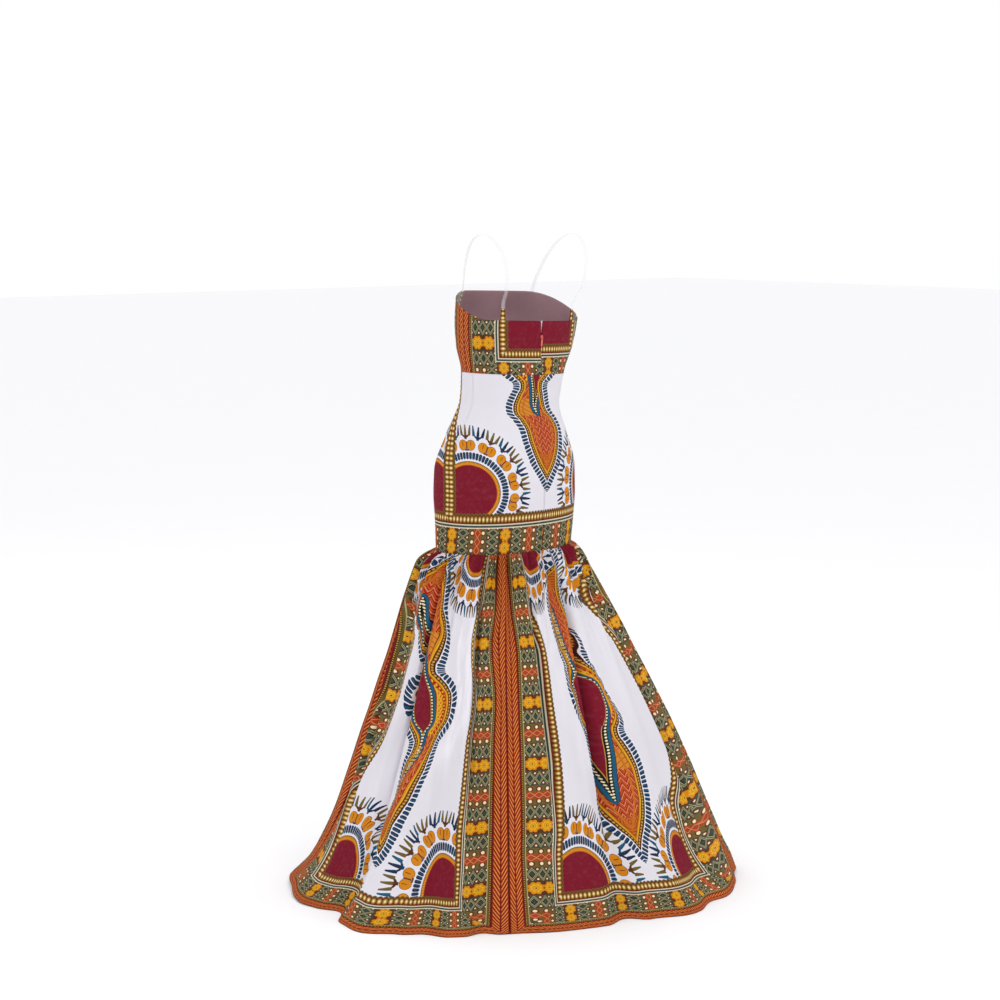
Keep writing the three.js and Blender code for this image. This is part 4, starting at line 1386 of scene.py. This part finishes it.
class DressLook(bpy.types.PropertyGroup):
    """What can be changed about the dress."""
    creases: bpy.props.FloatProperty(
        name="Creases", description="How deep the small creases in the cotton are", default=1, min=0, max=3)
    wrong_side: bpy.props.FloatProperty(
        name="Wrong side", description="How much paler the print is on the wrong side of the cloth",
        default=0.3, min=0, max=1, subtype="FACTOR")


class DressStudio(bpy.types.PropertyGroup):
    """What can be changed about the studio."""
    watts: bpy.props.FloatProperty(
        name="Light", description="Power of the brightest soft light", default=34, min=0, unit="POWER")
    world: bpy.props.FloatProperty(
        name="Surroundings", description="Brightness of the white surroundings", default=1, min=0)


class DRESS_OT_bodice(bpy.types.Operator):
    """Makes the strapless bodice from two backs and a front"""
    bl_idname = "dress.bodice"
    bl_label = "Bodice"

    def execute(self, context):
        cloths = both_sides("Bodice print", context.scene.dress_look)
        waist = WAIST_SEAM + SEAM_GAP / 2
        for side, columns, flat, cut in BODICE_CUT:
            fitted_piece("bodice", side, top_edge, waist, 60, columns, cloths)
        return {"FINISHED"}


class DRESS_OT_skirt(bpy.types.Operator):
    """Makes the close skirt from two backs and a front"""
    bl_idname = "dress.skirt"
    bl_label = "Skirt"

    def execute(self, context):
        cloths = both_sides("Skirt print", context.scene.dress_look)
        waist = WAIST_SEAM - SEAM_GAP / 2
        for side, columns, flat, cut in SKIRT_CUT:
            fitted_piece("skirt", side, lambda angle: waist + 0 * angle, FLOUNCE_SEAM + SEAM_GAP / 2, 140,
                         columns, cloths)
        return {"FINISHED"}


class DRESS_OT_flounce(bpy.types.Operator):
    """Makes the gathered flounce from four bordered panels"""
    bl_idname = "dress.flounce"
    bl_label = "Flounce"

    def execute(self, context):
        cloths = both_sides("Flounce print", context.scene.dress_look)
        for i, side in enumerate(("back", "right", "front", "left")):
            flounce_piece(side, i, cloths)
        return {"FINISHED"}


class DRESS_OT_zip(bpy.types.Operator):
    """Makes the centre back zip with its tapes, teeth, slider and pull"""
    bl_idname = "dress.zip"
    bl_label = "Zip"

    def execute(self, context):
        weave, nylon, enamel = zip_tape_cotton(), nylon_white(), coral_enamel()
        for side, sign in (("left", -1), ("right", 1)):
            zip_tape(side, sign, weave)
            row_of_teeth(side, sign, nylon)
        enamelled("zip_slider", "dress", enamel, 0.18)
        enamelled("zip_pull", "pull", enamel, 0.22)
        return {"FINISHED"}


class DRESS_OT_straps(bpy.types.Operator):
    """Makes the cloth tabs on the back and the clear straps over the shoulders"""
    bl_idname = "dress.straps"
    bl_label = "Tabs and clear straps"

    def execute(self, context):
        prepare_prints()
        print_on_tab, film = printed_cotton("Tab print", "Tab print"), clear_film()
        for side, sign in (("left", 1), ("right", -1)):
            tab_and_strap(side, sign, print_on_tab, film)
        return {"FINISHED"}


class DRESS_OT_stage(bpy.types.Operator):
    """Sets up the pale floor, the soft lights and the camera"""
    bl_idname = "dress.stage"
    bl_label = "Studio"

    def execute(self, context):
        studio = context.scene.dress_studio
        bpy.ops.object.select_all(action="DESELECT")
        bpy.ops.mesh.primitive_plane_add(size=60)
        floor = start_piece("Floor")
        for vertex in floor.data.vertices:
            vertex.co.z = CAD_BOX[0][2]
        floor.data.materials.append(studio_floor())
        world = bpy.data.worlds.new("Studio")
        context.scene.world = world
        world.use_nodes = True
        surroundings = world.node_tree.nodes["Background"]
        surroundings.inputs["Color"].default_value = (1, 1, 1, 1)
        surroundings.inputs["Strength"].default_value = studio.world
        context.scene.view_settings.view_transform = "Standard"
        place_lights(studio.watts)
        place_camera()
        return {"FINISHED"}


class DRESS_PT_panel(bpy.types.Panel):
    """Lists the pieces of the dress in the sidebar"""
    bl_idname = "DRESS_PT_panel"
    bl_label = "Wax print maxi dress"
    bl_space_type = "VIEW_3D"
    bl_region_type = "UI"
    bl_category = "Dress"

    def draw(self, context):
        for name, values in (("Cloth", context.scene.dress_look), ("Studio", context.scene.dress_studio)):
            box = self.layout.box()
            box.label(text=name)
            for label in values.bl_rna.properties.keys():
                if label not in ("rna_type", "name"):
                    box.prop(values, label)
        for step in OPERATORS:
            self.layout.operator(step.bl_idname)


OPERATORS = (
    DRESS_OT_bodice, DRESS_OT_skirt, DRESS_OT_flounce, DRESS_OT_zip, DRESS_OT_straps, DRESS_OT_stage,
)
CLASSES = (DressLook, DressStudio, *OPERATORS, DRESS_PT_panel)


def register():
    for kind in CLASSES:
        bpy.utils.register_class(kind)
    bpy.types.Scene.dress_look = bpy.props.PointerProperty(type=DressLook)
    bpy.types.Scene.dress_studio = bpy.props.PointerProperty(type=DressStudio)


def unregister():
    del bpy.types.Scene.dress_look, bpy.types.Scene.dress_studio
    for kind in reversed(CLASSES):
        bpy.utils.unregister_class(kind)


def main():
    register()
    bpy.ops.dress.bodice()
    bpy.ops.dress.skirt()
    bpy.ops.dress.flounce()
    bpy.ops.dress.zip()
    bpy.ops.dress.straps()
    bpy.ops.dress.stage()


if __name__ == "__main__":
    main()
